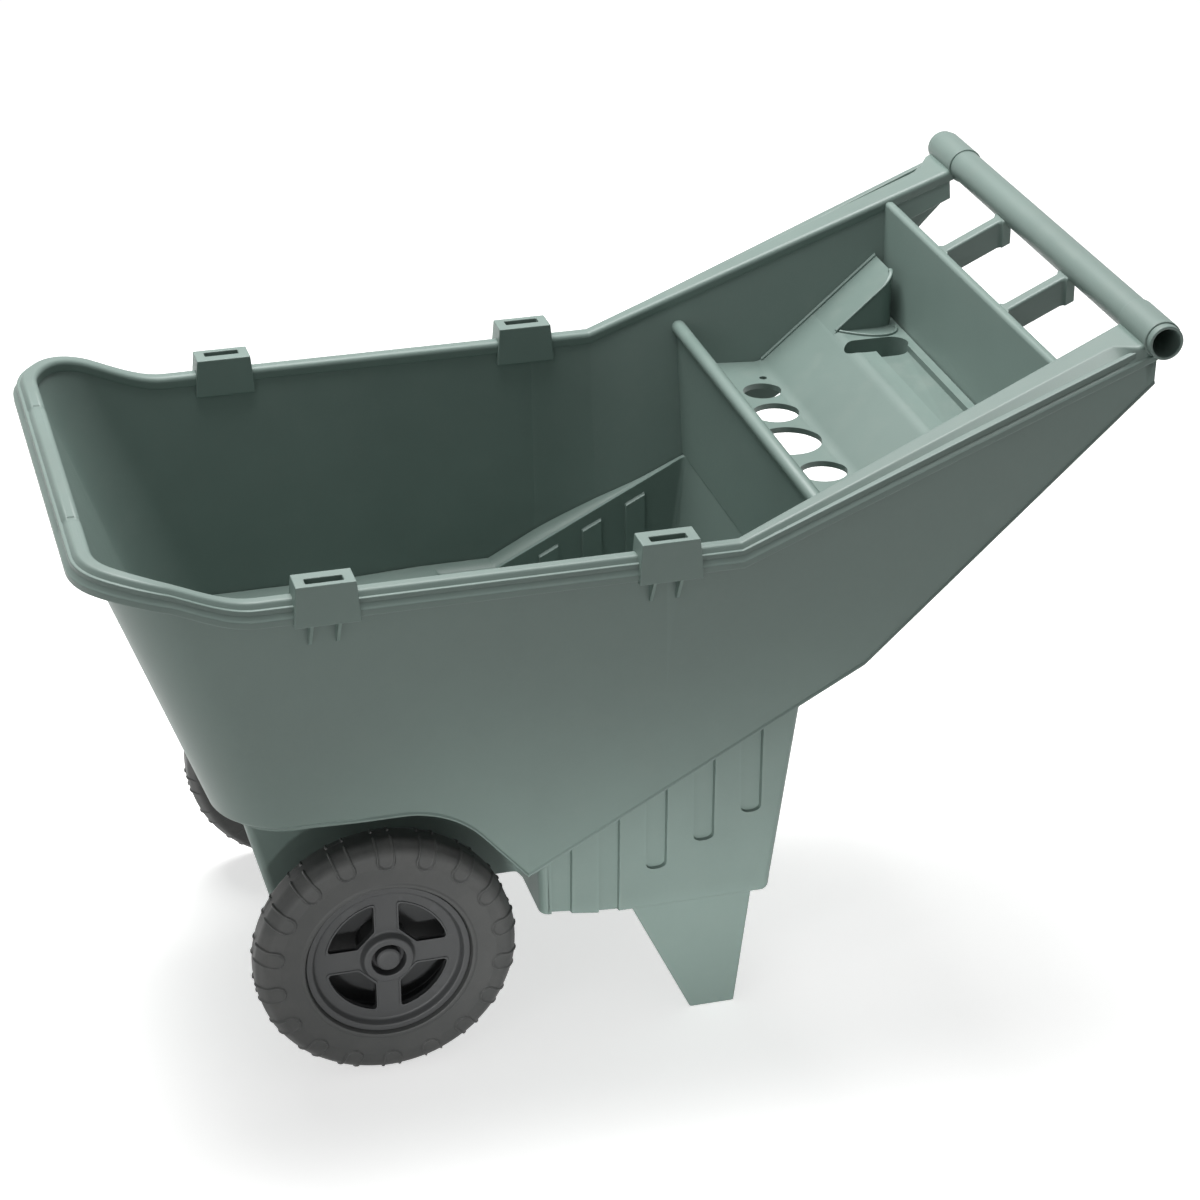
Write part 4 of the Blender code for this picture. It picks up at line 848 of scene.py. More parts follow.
@dataclass(frozen=True)
class CartShape:
    """Sizes and rules that several sub-assemblies follow, the same as in the solids."""

    rim_z: float = 0.541
    nose_rise: float = 0.036
    nose_rise_start: float = 0.035
    nose_rise_end: float = 0.155
    bend_x: float = 0.596
    rim_half_width: float = 0.250
    rim_width: float = 0.024
    rim_corner: float = 0.056
    rim_thickness: float = 0.005
    bead_depth: float = 0.012
    bead_round: float = 0.006
    bead_step: float = 0.002
    lip_depth: float = 0.021
    lip_wall: float = 0.004
    wall: float = 0.004
    foot_x: float = 0.118
    foot_half: float = 0.228
    foot_corner: float = 0.070
    shoulder_in: float = 0.015
    shoulder_down: float = 0.012
    skirt: float = 0.289
    skirt_flat_end: float = 0.285
    arch_r: float = 0.100
    arch_sweep: float = math.radians(48)
    tip: Pair = (0.404, 0.204)
    elbow: Pair = (0.725, 0.394)
    skirt_end_drop: float = 0.043
    handle_foot_half: float = 0.262
    handle: Pair = (0.989, 0.697)
    tube_r: float = 0.0165
    tube_wall: float = 0.003
    tube_half_length: float = 0.281
    rail_above_axis: float = 0.004
    rail_half_gap: float = 0.2125
    eye_wall: float = 0.0015
    crosswall_x: float = 0.905
    crosswall_thickness: float = 0.010
    crosswall_lean: float = 0.006
    cheek_span: Pair = (0.525, 0.650)
    cheek_draft: float = 0.20
    cheek_below_floor: float = 0.010
    cheek_rail_depth: float = 0.030
    ledge: float = 0.306
    ledge_fold: float = 0.480
    ledge_slope: float = 0.505
    divider_x: float = 0.688
    tray_shelf_z: float = 0.504
    tray_slope: float = 0.86
    tray_slope_span: Pair = (0.7695, 0.830)
    tray_fold_reach: float = 0.006
    tray_wall: float = 0.0045
    wheel_x: float = 0.269
    wheel_r: float = 0.127

    @property
    def half_length(self) -> float:
        """Half the length over the rail eyes, which is where the frame's middle lies."""
        return (self.handle[0] + self.tube_r + self.eye_wall) / 2

    @property
    def handle_middle(self) -> Vector:
        """Middle of the handle tube."""
        return Vector((self.handle[0], 0, self.handle[1]))

    @property
    def corner_end(self) -> float:
        """Where the nose's rounded corner runs into the side."""
        return self.rim_width + self.rim_corner

    @property
    def arch_end(self) -> float:
        """Where the arch over the wheel runs into the skirt's straight edge."""
        return self.skirt_flat_end + self.arch_r * math.sin(self.arch_sweep)

    @property
    def crosswall_back(self) -> float:
        """Rear face of the wall between the tray and the windows."""
        return self.crosswall_x + self.crosswall_thickness

    @property
    def outer_half(self) -> float:
        """Half the width over the rim's lip."""
        return self.rim_half_width + self.rim_width

    def rear_share(self, x: float) -> float:
        """How far x lies from the bend towards the handle."""
        return max(0.0, (x - self.bend_x) / (self.handle[0] - self.bend_x))

    def rim_top(self, x: float) -> float:
        """Height of the rim's crown."""
        if x > self.bend_x:
            return self.rim_z + (self.handle[1] + self.rail_above_axis - self.rim_z) * self.rear_share(x)
        fall = ease((x - self.nose_rise_start) / (self.nose_rise_end - self.nose_rise_start))
        return self.rim_z + self.nose_rise * (1 - fall)

    def rim_half(self, x: float) -> float:
        """Half the clear width between the rims."""
        return lerp(self.rim_half_width, self.rail_half_gap, self.rear_share(x))

    def skirt_z(self, x: float) -> float:
        """Height of the skirt's lower edge."""
        if x <= self.skirt_flat_end:
            return self.skirt
        if x <= self.arch_end:
            turn = math.asin((x - self.skirt_flat_end) / self.arch_r)
            return self.skirt - self.arch_r * (1 - math.cos(turn))
        arch_end_z = self.skirt - self.arch_r * (1 - math.cos(self.arch_sweep))
        if x <= self.tip[0]:
            return lerp(arch_end_z, self.tip[1], (x - self.arch_end) / (self.tip[0] - self.arch_end))
        if x <= self.elbow[0]:
            return lerp(self.tip[1], self.elbow[1], (x - self.tip[0]) / (self.elbow[0] - self.tip[0]))
        end = self.handle[1] - self.skirt_end_drop
        return lerp(self.elbow[1], end, (x - self.elbow[0]) / (self.handle[0] - self.elbow[0]))

    def skirt_half(self, x: float) -> float:
        """Half the width over the skirt's lower edge."""
        share = max(0.0, (x - self.tip[0]) / (self.handle[0] - self.tip[0]))
        return lerp(self.foot_half, self.handle_foot_half, share)

    def skin_offset(self, x: float) -> float:
        """How far the wall stands outside the rim's inner edge."""
        last = self.outer_half - self.lip_wall - 2 * self.wall - self.bead_step - self.rail_half_gap
        return lerp(self.bead_step, last, self.rear_share(x))

    def ledge_z(self, x: float) -> float:
        """Top of the ledge that runs round inside the tub."""
        return self.ledge + max(0.0, x - self.ledge_fold) * self.ledge_slope

    def tray_slope_z(self, x: float) -> float:
        """Height of the tray's sloping plane, which the strip carries on."""
        return self.tray_shelf_z + (x - self.tray_slope_span[0]) * self.tray_slope

    def past_fold(self, x: float, fold: float) -> float:
        """How far x lies behind a fold, with a soft start."""
        room = max(0.0, self.tray_fold_reach - abs(x - fold))
        return max(0.0, x - fold) + room * room / (4 * self.tray_fold_reach)

    def tray_z(self, x: float) -> float:
        """Top of the tray's floor: a level shelf, the slope and a level rear, softly folded."""
        first, last = self.tray_slope_span
        return self.tray_shelf_z + (self.past_fold(x, first) - self.past_fold(x, last)) * self.tray_slope

    @property
    def tray_drop(self) -> float:
        """The tray's wall measured straight down."""
        return self.tray_wall * math.sqrt(1 + self.tray_slope * self.tray_slope)

    def skin_y(self, x: float, z: float) -> float:
        """Half the width inside the tub's side wall."""
        top, low = self.rim_top(x) - self.bead_depth, self.skirt_z(x)
        inner_top = self.rim_half(x) + self.skin_offset(x)
        return lerp(self.skirt_half(x) - self.wall, inner_top, (z - low) / (top - low))

    def cheek_y(self, x: float, z: float) -> float:
        """Half the width inside the tray's cheeks."""
        drop = self.rim_top(x) - self.bead_depth - z
        return self.rim_half(x) + self.bead_step / 2 - drop * self.cheek_draft

    def inside_y(self, x: float, z: float) -> float:
        """Half the clear width inside the tub, where the wall runs softly into the cheek."""
        share = ease((x - self.cheek_span[0]) / (self.cheek_span[1] - self.cheek_span[0]))
        return lerp(self.skin_y(x, z), self.cheek_y(x, z), share)


@dataclass(frozen=True)
class Station:
    """One place round the rim: the rim's inner edge, its outward way, and the wall's foot."""

    edge: Pair
    way: Pair
    width: float
    skin: float
    top: float
    foot: Triple
    shoulder: float
    sunk: float = 0.0

    def at(self, out: float, height: float) -> Vector:
        """A point out from the rim's inner edge."""
        return Vector((self.edge[0] + self.way[0] * out, self.edge[1] + self.way[1] * out, height))

    def low(self, inwards: float, height: float) -> Vector:
        """A point in from the wall's foot."""
        return Vector((self.foot[0] - self.way[0] * inwards, self.foot[1] - self.way[1] * inwards, height))


@dataclass
class Tub:
    """The upper tub: walls and rim, rails, windows and stake brackets."""

    shape: CartShape
    corner_steps: int = 16
    shoulder_reach: float = 0.7
    side_pitch: float = 0.0075
    notch_y: float = 0.128
    notch_half: float = 0.0042
    notch_edge: float = 0.0012
    notch_depth: float = 0.0011
    rib_half_pitch: float = 0.0805
    rib_thickness: float = 0.015
    rib_depth: float = 0.028
    rib_flare: float = 0.0045
    rib_round: float = 0.003
    crosswall_round: float = 0.0042
    bracket_xs: Pair = (0.215, 0.527)
    bracket_length: float = 0.060
    bracket_rise: float = 0.015
    bracket_inside: float = 0.004
    bracket_proud: float = 0.003
    bracket_taper: float = 0.003
    bracket_round: float = 0.0011
    slot_size: Triple = (0.034, 0.010, 0.030)
    stay_pitch: float = 0.025
    stay_thickness: float = 0.003
    stay_length: float = 0.048
    crown_share: float = 0.55
    crown_fade: Pair = (0.948, 0.970)
    crown_round: float = 0.004
    crease_depth: float = 0.0145
    crease_step: float = 0.0016
    welt_proud: float = 0.0014
    welt_height: float = 0.0019
    edge_round: float = 0.0012
    fine_round: float = 0.0008
    foot_round: float = 0.006
    inner_round: float = 0.0010
    lap_round: float = 0.0015
    fold_guard: float = 0.0015
    cheek_lap: float = 0.0015
    tube_fit: float = 0.0002

    def section(self, station: Station) -> Ring:
        """The wall and its rim, cut through at a station, with rounded edges."""
        s = self.shape
        top, width = station.top, station.width
        crown = top - station.sunk
        foot_z = station.foot[2]
        turn_in = s.shoulder_in * station.shoulder
        turn_down = lerp(s.wall, s.shoulder_down, station.shoulder)
        bend = lerp(self.edge_round, self.foot_round, station.shoulder)
        proud = lerp(self.welt_proud, self.welt_proud / 6, station.shoulder)
        fade = ease((station.edge[0] - self.crown_fade[0]) / (self.crown_fade[1] - self.crown_fade[0]))
        shoulder = lerp(width * self.crown_share, width - self.crease_step, fade)
        edge, fine, foot = self.edge_round, self.fine_round, foot_z - turn_down
        corners = [
            (station.at(width, top - s.lip_depth), edge),
            (station.at(width, top - self.crease_depth), edge),
            (station.at(width - self.crease_step, top - self.crease_depth + self.crease_step), fine),
            (station.at(shoulder, crown), self.crown_round),
            (station.at(0, crown), s.bead_round),
            (station.at(0, top - s.bead_depth), self.inner_round),
            (station.at(station.skin, top - s.bead_depth), fine),
            (station.low(s.wall, foot_z + s.bead_step), bend),
            (station.low(turn_in + s.wall, foot + s.wall), edge),
            (station.low(turn_in + s.wall, foot), edge),
            (station.low(turn_in - proud, foot), fine),
            (station.low(turn_in - proud, foot + self.welt_height), fine),
            (station.low(turn_in, foot + 2 * self.welt_height), fine),
            (station.low(0, foot_z), bend),
            (station.at(station.skin + s.wall, top - s.rim_thickness), self.lap_round),
            (station.at(width - s.lip_wall, top - s.rim_thickness), edge),
            (station.at(width - s.lip_wall, top - s.lip_depth), edge),
        ]
        points, radii = zip(*corners)
        return rounded(points, radii, 4)

    def nose_stations(self) -> list[Station]:
        """Stations of the right half of the nose, with the shallow notches of the rim."""
        s = self.shape
        straight, foot_straight = s.rim_half_width - s.rim_corner, s.foot_half - s.foot_corner
        start, end = self.notch_y - self.notch_half, self.notch_y + self.notch_half
        edge = self.notch_edge
        marks = [(0.0, 0.0), (start / 2, 0.0), (start - edge, 0.0), (start, self.notch_depth),
                 (end, self.notch_depth), (end + edge, 0.0), (straight, 0.0)]
        made = []
        for y, sunk in marks:
            foot = (s.foot_x, foot_straight * y / straight, s.skirt)
            made.append(Station((s.rim_width, y), (-1.0, 0.0), s.rim_width, s.bead_step,
                                s.rim_top(s.rim_width), foot, 1.0, sunk))
        for step in range(1, self.corner_steps + 1):
            turn = math.pi / 2 * step / self.corner_steps
            out, aside = 1 - math.cos(turn), math.sin(turn)
            place = (s.rim_width + s.rim_corner * out, straight + s.rim_corner * aside)
            foot = (s.foot_x + s.foot_corner * out, foot_straight + s.foot_corner * aside, s.skirt)
            way = (-math.cos(turn), math.sin(turn))
            made.append(Station(place, way, s.rim_width, s.bead_step, s.rim_top(place[0]), foot, 1.0))
        return made

    def side_station(self, x: float) -> Station:
        """A station on the side wall; near the nose its foot lies further back than its top."""
        s = self.shape
        foot_x, shoulder = x, 0.0
        if x < s.skirt_flat_end:
            share = (x - s.corner_end) / (s.skirt_flat_end - s.corner_end)
            foot_x = lerp(s.foot_x + s.foot_corner, s.skirt_flat_end, share)
            shoulder = 1 - ease(share / self.shoulder_reach)
        foot = (foot_x, s.skirt_half(foot_x), s.skirt_z(foot_x))
        width = s.outer_half - s.rim_half(x)
        edge, way = (x, s.rim_half(x)), (0.0, 1.0)
        return Station(edge, way, width, s.skin_offset(x), s.rim_top(x), foot, shoulder)

    def side_places(self) -> list[float]:
        """Where the side wall is cut, with every corner of its outline among them."""
        s = self.shape
        marks = [s.corner_end, s.skirt_flat_end, s.arch_end, s.tip[0], s.bend_x, s.elbow[0], s.handle[0]]
        places = []
        for start, end in zip(marks, marks[1:]):
            count = max(2, round((end - start) / self.side_pitch))
            places.extend(spread(start, end, count + 1)[1:])
        for mark in (s.tip[0], s.elbow[0], s.bend_x):
            places.extend((mark - self.fold_guard, mark + self.fold_guard))
        return sorted(places)

    def shell(self) -> bpy.types.Mesh:
        """Walls and rim in one sweep from the left rail round the nose to the right rail."""
        stations = self.nose_stations() + [self.side_station(x) for x in self.side_places()]
        right = [self.section(station) for station in stations]
        left = [flipped(ring) for ring in reversed(right[1:])]
        return loft("tub_walls", left + right)

    def cheek(self, side: Side) -> bpy.types.Mesh:
        """The inner wall of one rail, beside the tray and the windows."""
        s = self.shape
        start, end = s.cheek_span[0], s.handle[0] - s.tube_r
        marks = [*spread(start, s.cheek_span[1], 16), s.divider_x]
        marks += [s.bend_x - self.fold_guard, s.bend_x, s.bend_x + self.fold_guard]
        places = [(x, s.ledge_z(x) - s.cheek_below_floor) for x in sorted(marks)]
        places.append((s.crosswall_x, s.tray_z(s.crosswall_x) - s.cheek_below_floor))
        places.append((s.crosswall_back, s.rim_top(s.crosswall_x) - s.cheek_rail_depth))
        places.append((end, s.rim_top(end) - s.cheek_rail_depth))
        rings = []
        for x, low in places:
            high = s.rim_top(x) - s.rim_thickness + self.cheek_lap
            sunk, thick = (s.wall / 4, s.wall / 2) if x == start else (0.0, s.wall)
            near_low, near_high = s.inside_y(x, low) + sunk, s.inside_y(x, high) + sunk
            corners = [Vector((x, side.value * y, z)) for y, z in (
                (near_high, high), (near_high + thick, high), (near_low + thick, low), (near_low, low))]
            rings.append(rounded(corners, [self.edge_round] * 4, 3, self.fine_round))
        return loft("cheek", rings)

    def crosswall(self) -> bpy.types.Mesh:
        """The wall between the tray and the windows, with a rounded top."""
        s = self.shape
        low = s.tray_z(s.crosswall_x) - s.cheek_below_floor
        high = s.rim_top(s.crosswall_x) - s.bead_round / 2
        corners = [(s.crosswall_x - s.crosswall_lean, low), (s.crosswall_back - s.crosswall_lean, low),
                   (s.crosswall_back, high), (s.crosswall_x, high)]
        radii = [self.inner_round] * 2 + [self.crosswall_round] * 2
        outline = rounded([Vector((x, 0, z)) for x, z in corners], radii, 6)
        rings = []
        for y in (-1, 1):
            rings.append([Vector((p.x, y * (s.cheek_y(p.x, p.z) + s.wall / 2), p.z)) for p in outline])
        return loft("crosswall", rings)

    def rib(self, y: float) -> bpy.types.Mesh:
        """One rib from the crosswall to the tube, flared where it meets them."""
        s = self.shape
        start, end = s.crosswall_x + s.crosswall_thickness / 2, s.handle[0] - s.tube_r * 0.5
        start_top = s.rim_top(s.crosswall_x) - s.bead_round
        face, tube_face = s.crosswall_back, s.handle[0] - s.tube_r
        places = sorted({start, end, *spread(face, face + self.rib_flare, 7),
                         *spread(tube_face - self.rib_flare, tube_face, 7)})
        rings = []
        for x in places:
            near = min(max(x - face, 0.0), max(tube_face - x, 0.0))
            open_share = min(near / self.rib_flare, 1.0)
            half = self.rib_thickness / 2 + self.rib_flare * (1 - math.sqrt(1 - (1 - open_share) ** 2))
            top = lerp(start_top, s.handle[1] + 0.001, (x - start) / (s.handle[0] - start))
            corners = across(x, (y - half, y + half), top - self.rib_depth, top)
            rings.append(rounded(corners, [self.rib_round] * 2 + [self.inner_round] * 2, 4))
        return loft("rib", rings)

    def eye(self, side: Side, recipes: Recipes, finish: bpy.types.Material) -> bpy.types.Object:
        """The ring that holds the tube at the end of a rail."""
        s = self.shape
        low, high = s.rail_half_gap + s.bead_step, s.outer_half - s.bead_step / 2
        inner, outer = s.tube_r - 0.001, s.tube_r + s.eye_wall
        profile = [(inner, side.value * low, 0.0004), (inner, side.value * high, 0.0006),
                   (outer, side.value * high, self.edge_round), (outer, side.value * low, self.edge_round)]
        return recipes.turned(f"rail_eye_{side.label}", profile, 64, s.handle_middle, finish)

    def bracket(self, x: float, side: Side) -> bpy.types.Object:
        """A tapered block over the rim with a slot for a stake."""
        s = self.shape
        inner = side.value * (s.rim_half_width - self.bracket_inside)
        outer = side.value * (s.outer_half + self.bracket_proud)
        top = s.rim_top(x) + self.bracket_rise
        rings = []
        for z, taper in ((s.rim_top(x) - s.lip_depth - self.bracket_proud, 0.0), (top, self.bracket_taper)):
            half = self.bracket_length / 2 - taper
            in_y, out_y = inner + side.value * taper / 2, outer - side.value * taper / 2
            rings.append(flat(rectangle((x - half, x + half), (in_y, out_y)), z))
        block = new_object("stake_bracket", loft("bracket", rings))
        middle = side.value * (s.rim_half_width + s.rim_width / 2 + s.bead_step)
        length, width, depth = self.slot_size
        slot = rectangle((x - length / 2, x + length / 2), (middle - width / 2, middle + width / 2))
        combined(block, [("DIFFERENCE", prism("slot", slot, along_z, top - depth, top + PAST))])
        return softened(block, self.bracket_round)

    def stay(self, side: Side) -> bpy.types.Mesh:
        """A thin upright rib under a bracket, drawn about x = 0."""
        s = self.shape
        x = self.bracket_xs[1]
        high = s.rim_top(x) - s.rim_thickness - 0.001
        low = high - self.stay_length
        inner = s.skin_y(x, low) + s.wall / 2
        reach = s.outer_half - s.lip_wall / 2
        outline = [(inner, low), (inner + s.wall, low + s.wall / 2),
                   (reach, s.rim_top(x) - s.lip_depth + 0.001), (reach, high),
                   (s.skin_y(x, high) + s.wall / 2, high)]
        half = self.stay_thickness / 2
        rings = [[Vector((depth, side.value * a, b)) for a, b in outline] for depth in (-half, half)]
        return loft("stay", rings)

    def build(self, bench: Bench, recipes: Recipes) -> None:
        """Makes and dresses the tub's pieces."""
        s = self.shape
        reach = s.outer_half + 2 * PAST
        bore = prism("bore", circle(s.handle, s.tube_r - self.tube_fit, 48), along_y, -reach, reach)
        walls = combined(new_object("tub_walls", self.shell()), [("DIFFERENCE", bore)])
        bench.settle(walls, ["tub_body"])
        bench.settle(new_object("crosswall", self.crosswall()))
        for side in Side:
            bench.settle(new_object(f"cheek_{side.label}", self.cheek(side)))
            rib = self.rib(side.value * self.rib_half_pitch)
            bench.settle(new_object(f"window_rib_{side.label}", rib))
            bench.settle(self.eye(side, recipes, bench.materials["body"]))
            for number, x in enumerate(self.bracket_xs, 1):
                block = self.bracket(x, side)
                block.name = f"stake_bracket_{side.label}_{number}"
                bench.settle(block)
            spots = [Vector((x + shift, 0, 0)) for x in self.bracket_xs
                     for shift in (-self.stay_pitch / 2, self.stay_pitch / 2)]
            stays = recipes.repeated(f"bracket_stays_{side.label}", self.stay(side), spots,
                                     bench.materials["body"])
            bench.settle(stays)


@dataclass
class HandleTube:
    """The hollow handle tube, open at both ends."""

    shape: CartShape
    end_round: float = 0.0013

    def build(self, bench: Bench, recipes: Recipes) -> None:
        """Makes and dresses the tube."""
        s = self.shape
        end, inner = s.tube_half_length, s.tube_r - s.tube_wall
        profile = [(s.tube_r, -end, self.end_round), (s.tube_r, end, self.end_round),
                   (inner, end, self.end_round), (inner, -end, self.end_round)]
        tube = recipes.turned("handle_tube_skin", profile, 72, s.handle_middle, bench.materials["body"])
        bench.settle(tube, ["handle_tube"])


@dataclass
class Well:
    """The lower well: flange, narrow box between the wheels, fluted pod, floor and axle lugs."""

    shape: CartShape
    wall: float = 0.004
    floor: float = 0.139
    front_top: float = 0.136
    front_foot: float = 0.178
    box_half: Pair = (0.120, 0.156)
    pod_front: Pair = (0.423, 0.412)
    pod_rear: Pair = (0.655, 0.690)
    pod_half: Pair = (0.200, 0.206)
    lip_z: float = 0.128
    lip_wall: float = 0.003
    lip_corner: float = 0.010
    lip_round: float = 0.0010
    lip_bevel: float = 0.0008
    fillet: float = 0.005
    seam: float = 0.0010
    lip_ramp_end: float = 0.500
    corner: float = 0.009
    least_corner: float = 0.003
    edge_rise: float = 0.0016
    flute_first: float = 0.443
    flute_pitch: float = 0.047
    flute_half: float = 0.0110
    flute_foot_half: float = 0.0092
    flute_depth: float = 0.0042
    flute_edge: float = 0.0011
    flute_guards: Pair = (0.0016, 0.0034)
    flute_levels: tuple[float, ...] = (-0.0028, -0.0015, -0.0006, 0.0, 0.0006, 0.0015, 0.003, 0.005)
    flute_lowest: float = 0.146
    flute_rise: float = 0.0245
    flute_round: float = 0.005
    flute_least: float = 0.09
    flute_start: float = 0.0004
    flute_top_drop: float = 0.012
    straight_top: float = 0.286
    lug_plate: float = 0.008
    lug_r: float = 0.019
    lug_round: float = 0.0012
    bore_cut: Pair = (-0.2, 0.2)
    lug_ys: tuple[float, ...] = (-0.114, -0.050, 0.050, 0.114)
    axle_r: float = 0.0063
    rear_x: float = 0.690

    def between(self, pair: Pair, z: float, top: float) -> float:
        """A drafted size at a height, from its foot and top values."""
        return lerp(pair[0], pair[1], (z - self.floor) / (top - self.floor))

    def flutes(self) -> list[Pair]:
        """Middle and lowest height of each flute."""
        return [(self.flute_first + self.flute_pitch * number,
                 self.flute_lowest + self.flute_rise * (number - 1) if number > 1 else self.lip_z - 0.01)
                for number in range(5)]

    def flute_columns(self, z: float) -> list[Pair]:
        """Where the side panel is cut at a height, as (x, depth) pairs."""
        columns = []
        for middle, low in self.flutes():
            share = min(max((z - low) / (self.straight_top - low), 0.0), 1.0)
            left = lerp(self.flute_foot_half, self.flute_half, share)
            above = z - low
            squeeze = 1.0
            if above < self.flute_round:
                curve = 1 - (1 - max(above, 0.0) / self.flute_round) ** 2
                squeeze = math.sqrt(max(curve, self.flute_least))
            depth = self.flute_depth if above > self.flute_start else 0.0
            left_x, right_x = middle - left * squeeze, middle + self.flute_half * squeeze
            near, far = self.flute_guards
            steps = ((-far, 0.0), (-near, 0.0), (0.0, 0.0), (self.flute_edge, depth),
                     (self.flute_edge + near, depth))
            columns += [(left_x + shift, level) for shift, level in steps]
            columns += [(right_x - shift, level) for shift, level in reversed(steps)]
        return columns

    def ring(self, height: Callable[[float], float], inset: float) -> Ring:
        """The T-shaped plan of the well at one level.

        Args:
            height: Gives the level's height at x.
            inset: How far inside the outer faces it lies.

        Returns:
            The outline, round the whole well.
        """
        s = self.shape
        top = s.ledge_z(self.rear_x)
        rear = self.pod_rear[1]
        for _ in range(4):
            rear = self.between(self.pod_rear, height(rear), top)
        low_front, low_pod, low_rear = height(self.front_top), height(self.pod_front[1]), height(rear)
        xb = self.between((self.front_foot, self.front_top), low_front, s.ledge) + inset
        yb = self.between(self.box_half, low_front, s.ledge) - inset
        yb_pod = self.between(self.box_half, low_pod, s.ledge) - inset
        xp = self.between(self.pod_front, low_pod, top) + inset
        yp = self.between(self.pod_half, low_pod, top) - inset
        yr = self.between(self.pod_half, low_rear, top) - inset
        xr = rear - inset
        r = max(self.corner - inset, self.least_corner)
        inner_r = self.corner + inset
        half = [(xb, 0.0), (xb, yb / 2)]
        half += arc((xb + r, yb - r), r, math.pi, -math.pi / 2, 6)
        half += arc((xp - inner_r, yb_pod + inner_r), inner_r, -math.pi / 2, math.pi / 2, 6)
        half += arc((xp + r, yp - r), r, math.pi, -math.pi / 2, 6)
        for x, depth in self.flute_columns(low_pod):
            z = height(x)
            cut = depth if z < s.ledge_z(x) - self.flute_top_drop else 0.0
            half.append((x, self.between(self.pod_half, z, top) - inset - cut))
        half += arc((xr - r, yr - r), r, math.pi / 2, -math.pi / 2, 6)
        half += [(xr, yr / 2), (xr, 0.0)]
        right = [Vector((x, y, height(x))) for x, y in half]
        return right + flipped(reversed(right[1:-1]))

    def lip_height(self, x: float) -> float:
        """Height of the lower edge of the walls: the pod's lip hangs below the floor."""
        if x < self.pod_front[0] - 0.002:
            return self.floor
        share = ease((x - self.pod_front[0]) / (self.lip_ramp_end - self.pod_front[0]))
        foot = lerp(self.floor - 0.003, self.lip_z, share)
        back = x - (self.pod_rear[0] - self.lip_corner)
        if back > 0:
            reach = min(back / self.lip_corner, 0.98)
            foot += self.lip_corner * (1 - math.sqrt(1 - reach * reach))
        return foot

    def levels(self) -> list[Callable[[float], float]]:
        """Heights of the outer rings, from the ledge down to the lip."""
        s = self.shape
        drops = (-self.edge_rise, 0.0008, self.flute_top_drop - 0.0008, self.flute_top_drop + 0.0008)
        rules = [lambda x, drop=drop: s.ledge_z(x) - drop for drop in drops]
        rules += [lambda x, share=share: lerp(self.straight_top, s.ledge_z(x) - drops[-1], share)
                  for share in (0.9, 0.5, 0.1)]
        marks = {self.straight_top, self.floor + 0.004, 0.270, 0.255, 0.240}
        for _, low in self.flutes():
            marks |= {low + step for step in self.flute_levels}
        rules += [lambda x, z=z: z for z in sorted(marks, reverse=True) if z > self.floor + 0.002]
        return rules

    def shell(self) -> bpy.types.Mesh:
        """Outer faces, lip, floor and inner faces in one closed body."""
        s = self.shape
        lip = self.lip_height
        outer = [self.ring(rule, 0.0) for rule in self.levels()]
        outer.append(self.ring(lambda x: lip(x) + self.lip_round, 0.0))
        outer.append(self.ring(lip, self.lip_bevel))
        outer.append(self.ring(lip, self.lip_wall - self.lip_bevel))
        outer.append(self.ring(lambda x: lip(x) + self.lip_round, self.lip_wall))
        outer.append(self.ring(lambda x: max(self.floor, lip(x) + 0.0011), self.lip_wall + 0.0004))
        lowest = self.floor + self.wall + self.fillet - 0.0005
        inner = [self.ring(rule, self.wall) for rule in self.levels() if rule(self.front_top) > lowest]
        for step in range(5):
            turn = math.pi / 2 * step / 4
            drop, shift = self.fillet * (1 - math.sin(turn)), self.fillet * (1 - math.cos(turn))
            inner.append(self.ring(lambda x, z=self.floor + self.wall + drop: z, self.wall + shift))
        return loft("well", [*reversed(outer), *inner], 30.0)

    def flange(self, tub: Tub) -> bpy.types.Object:
        """The flange that follows the tub's wall and folds up towards the tray."""
        s, seam = self.shape, self.seam
        rings = []
        for station in tub.nose_stations()[6:]:
            top = station.at(station.skin, station.top - s.bead_depth)
            low = station.low(s.wall, station.foot[2])
            share = (s.ledge - self.wall - low.z) / (top.z - low.z)
            point = low.lerp(top, share)
            rings.append(self.flange_ring(point.x + seam, point.y - seam))
        last = rings[-1][0].x
        marks = [x for x in tub.side_places() if last + seam < x < self.rear_x]
        for x in sorted([*marks, s.ledge_fold, self.rear_x + 0.004]):
            rings.append(self.flange_ring(x, s.inside_y(x, s.ledge_z(x) - self.wall) - seam))
        plate = new_object("well_flange", loft("flange", rings, 20.0))
        level = self.ring(s.ledge_z, self.wall - 0.0006)
        low, high = ([Vector((p.x, p.y, p.z + shift)) for p in level] for shift in (-3 * PAST, 3 * PAST))
        return combined(plate, [("DIFFERENCE", loft("room", [low, high]))])

    def flange_ring(self, x: float, half: float) -> Ring:
        """The flange cut across at x."""
        top = self.shape.ledge_z(x)
        return across(x, (-half, half), top - self.wall, top)

    def lugs(self) -> bpy.types.Object:
        """The plates under the well that carry the axle."""
        s = self.shape
        meshes = []
        for y in self.lug_ys:
            outline = arc((s.wheel_x, s.wheel_r), self.lug_r, math.pi, math.pi, 24)
            top = self.floor + self.wall / 2
            outline += [(s.wheel_x + self.lug_r, top), (s.wheel_x - self.lug_r, top)]
            meshes.append(prism("lug", outline, along_y, y - self.lug_plate / 2, y + self.lug_plate / 2))
        lugs = new_object("axle_lugs", joined("axle_lugs", meshes))
        bore = prism("bore", circle((s.wheel_x, s.wheel_r), self.axle_r, 32), along_y, *self.bore_cut)
        return softened(combined(lugs, [("DIFFERENCE", bore)]), self.lug_round)

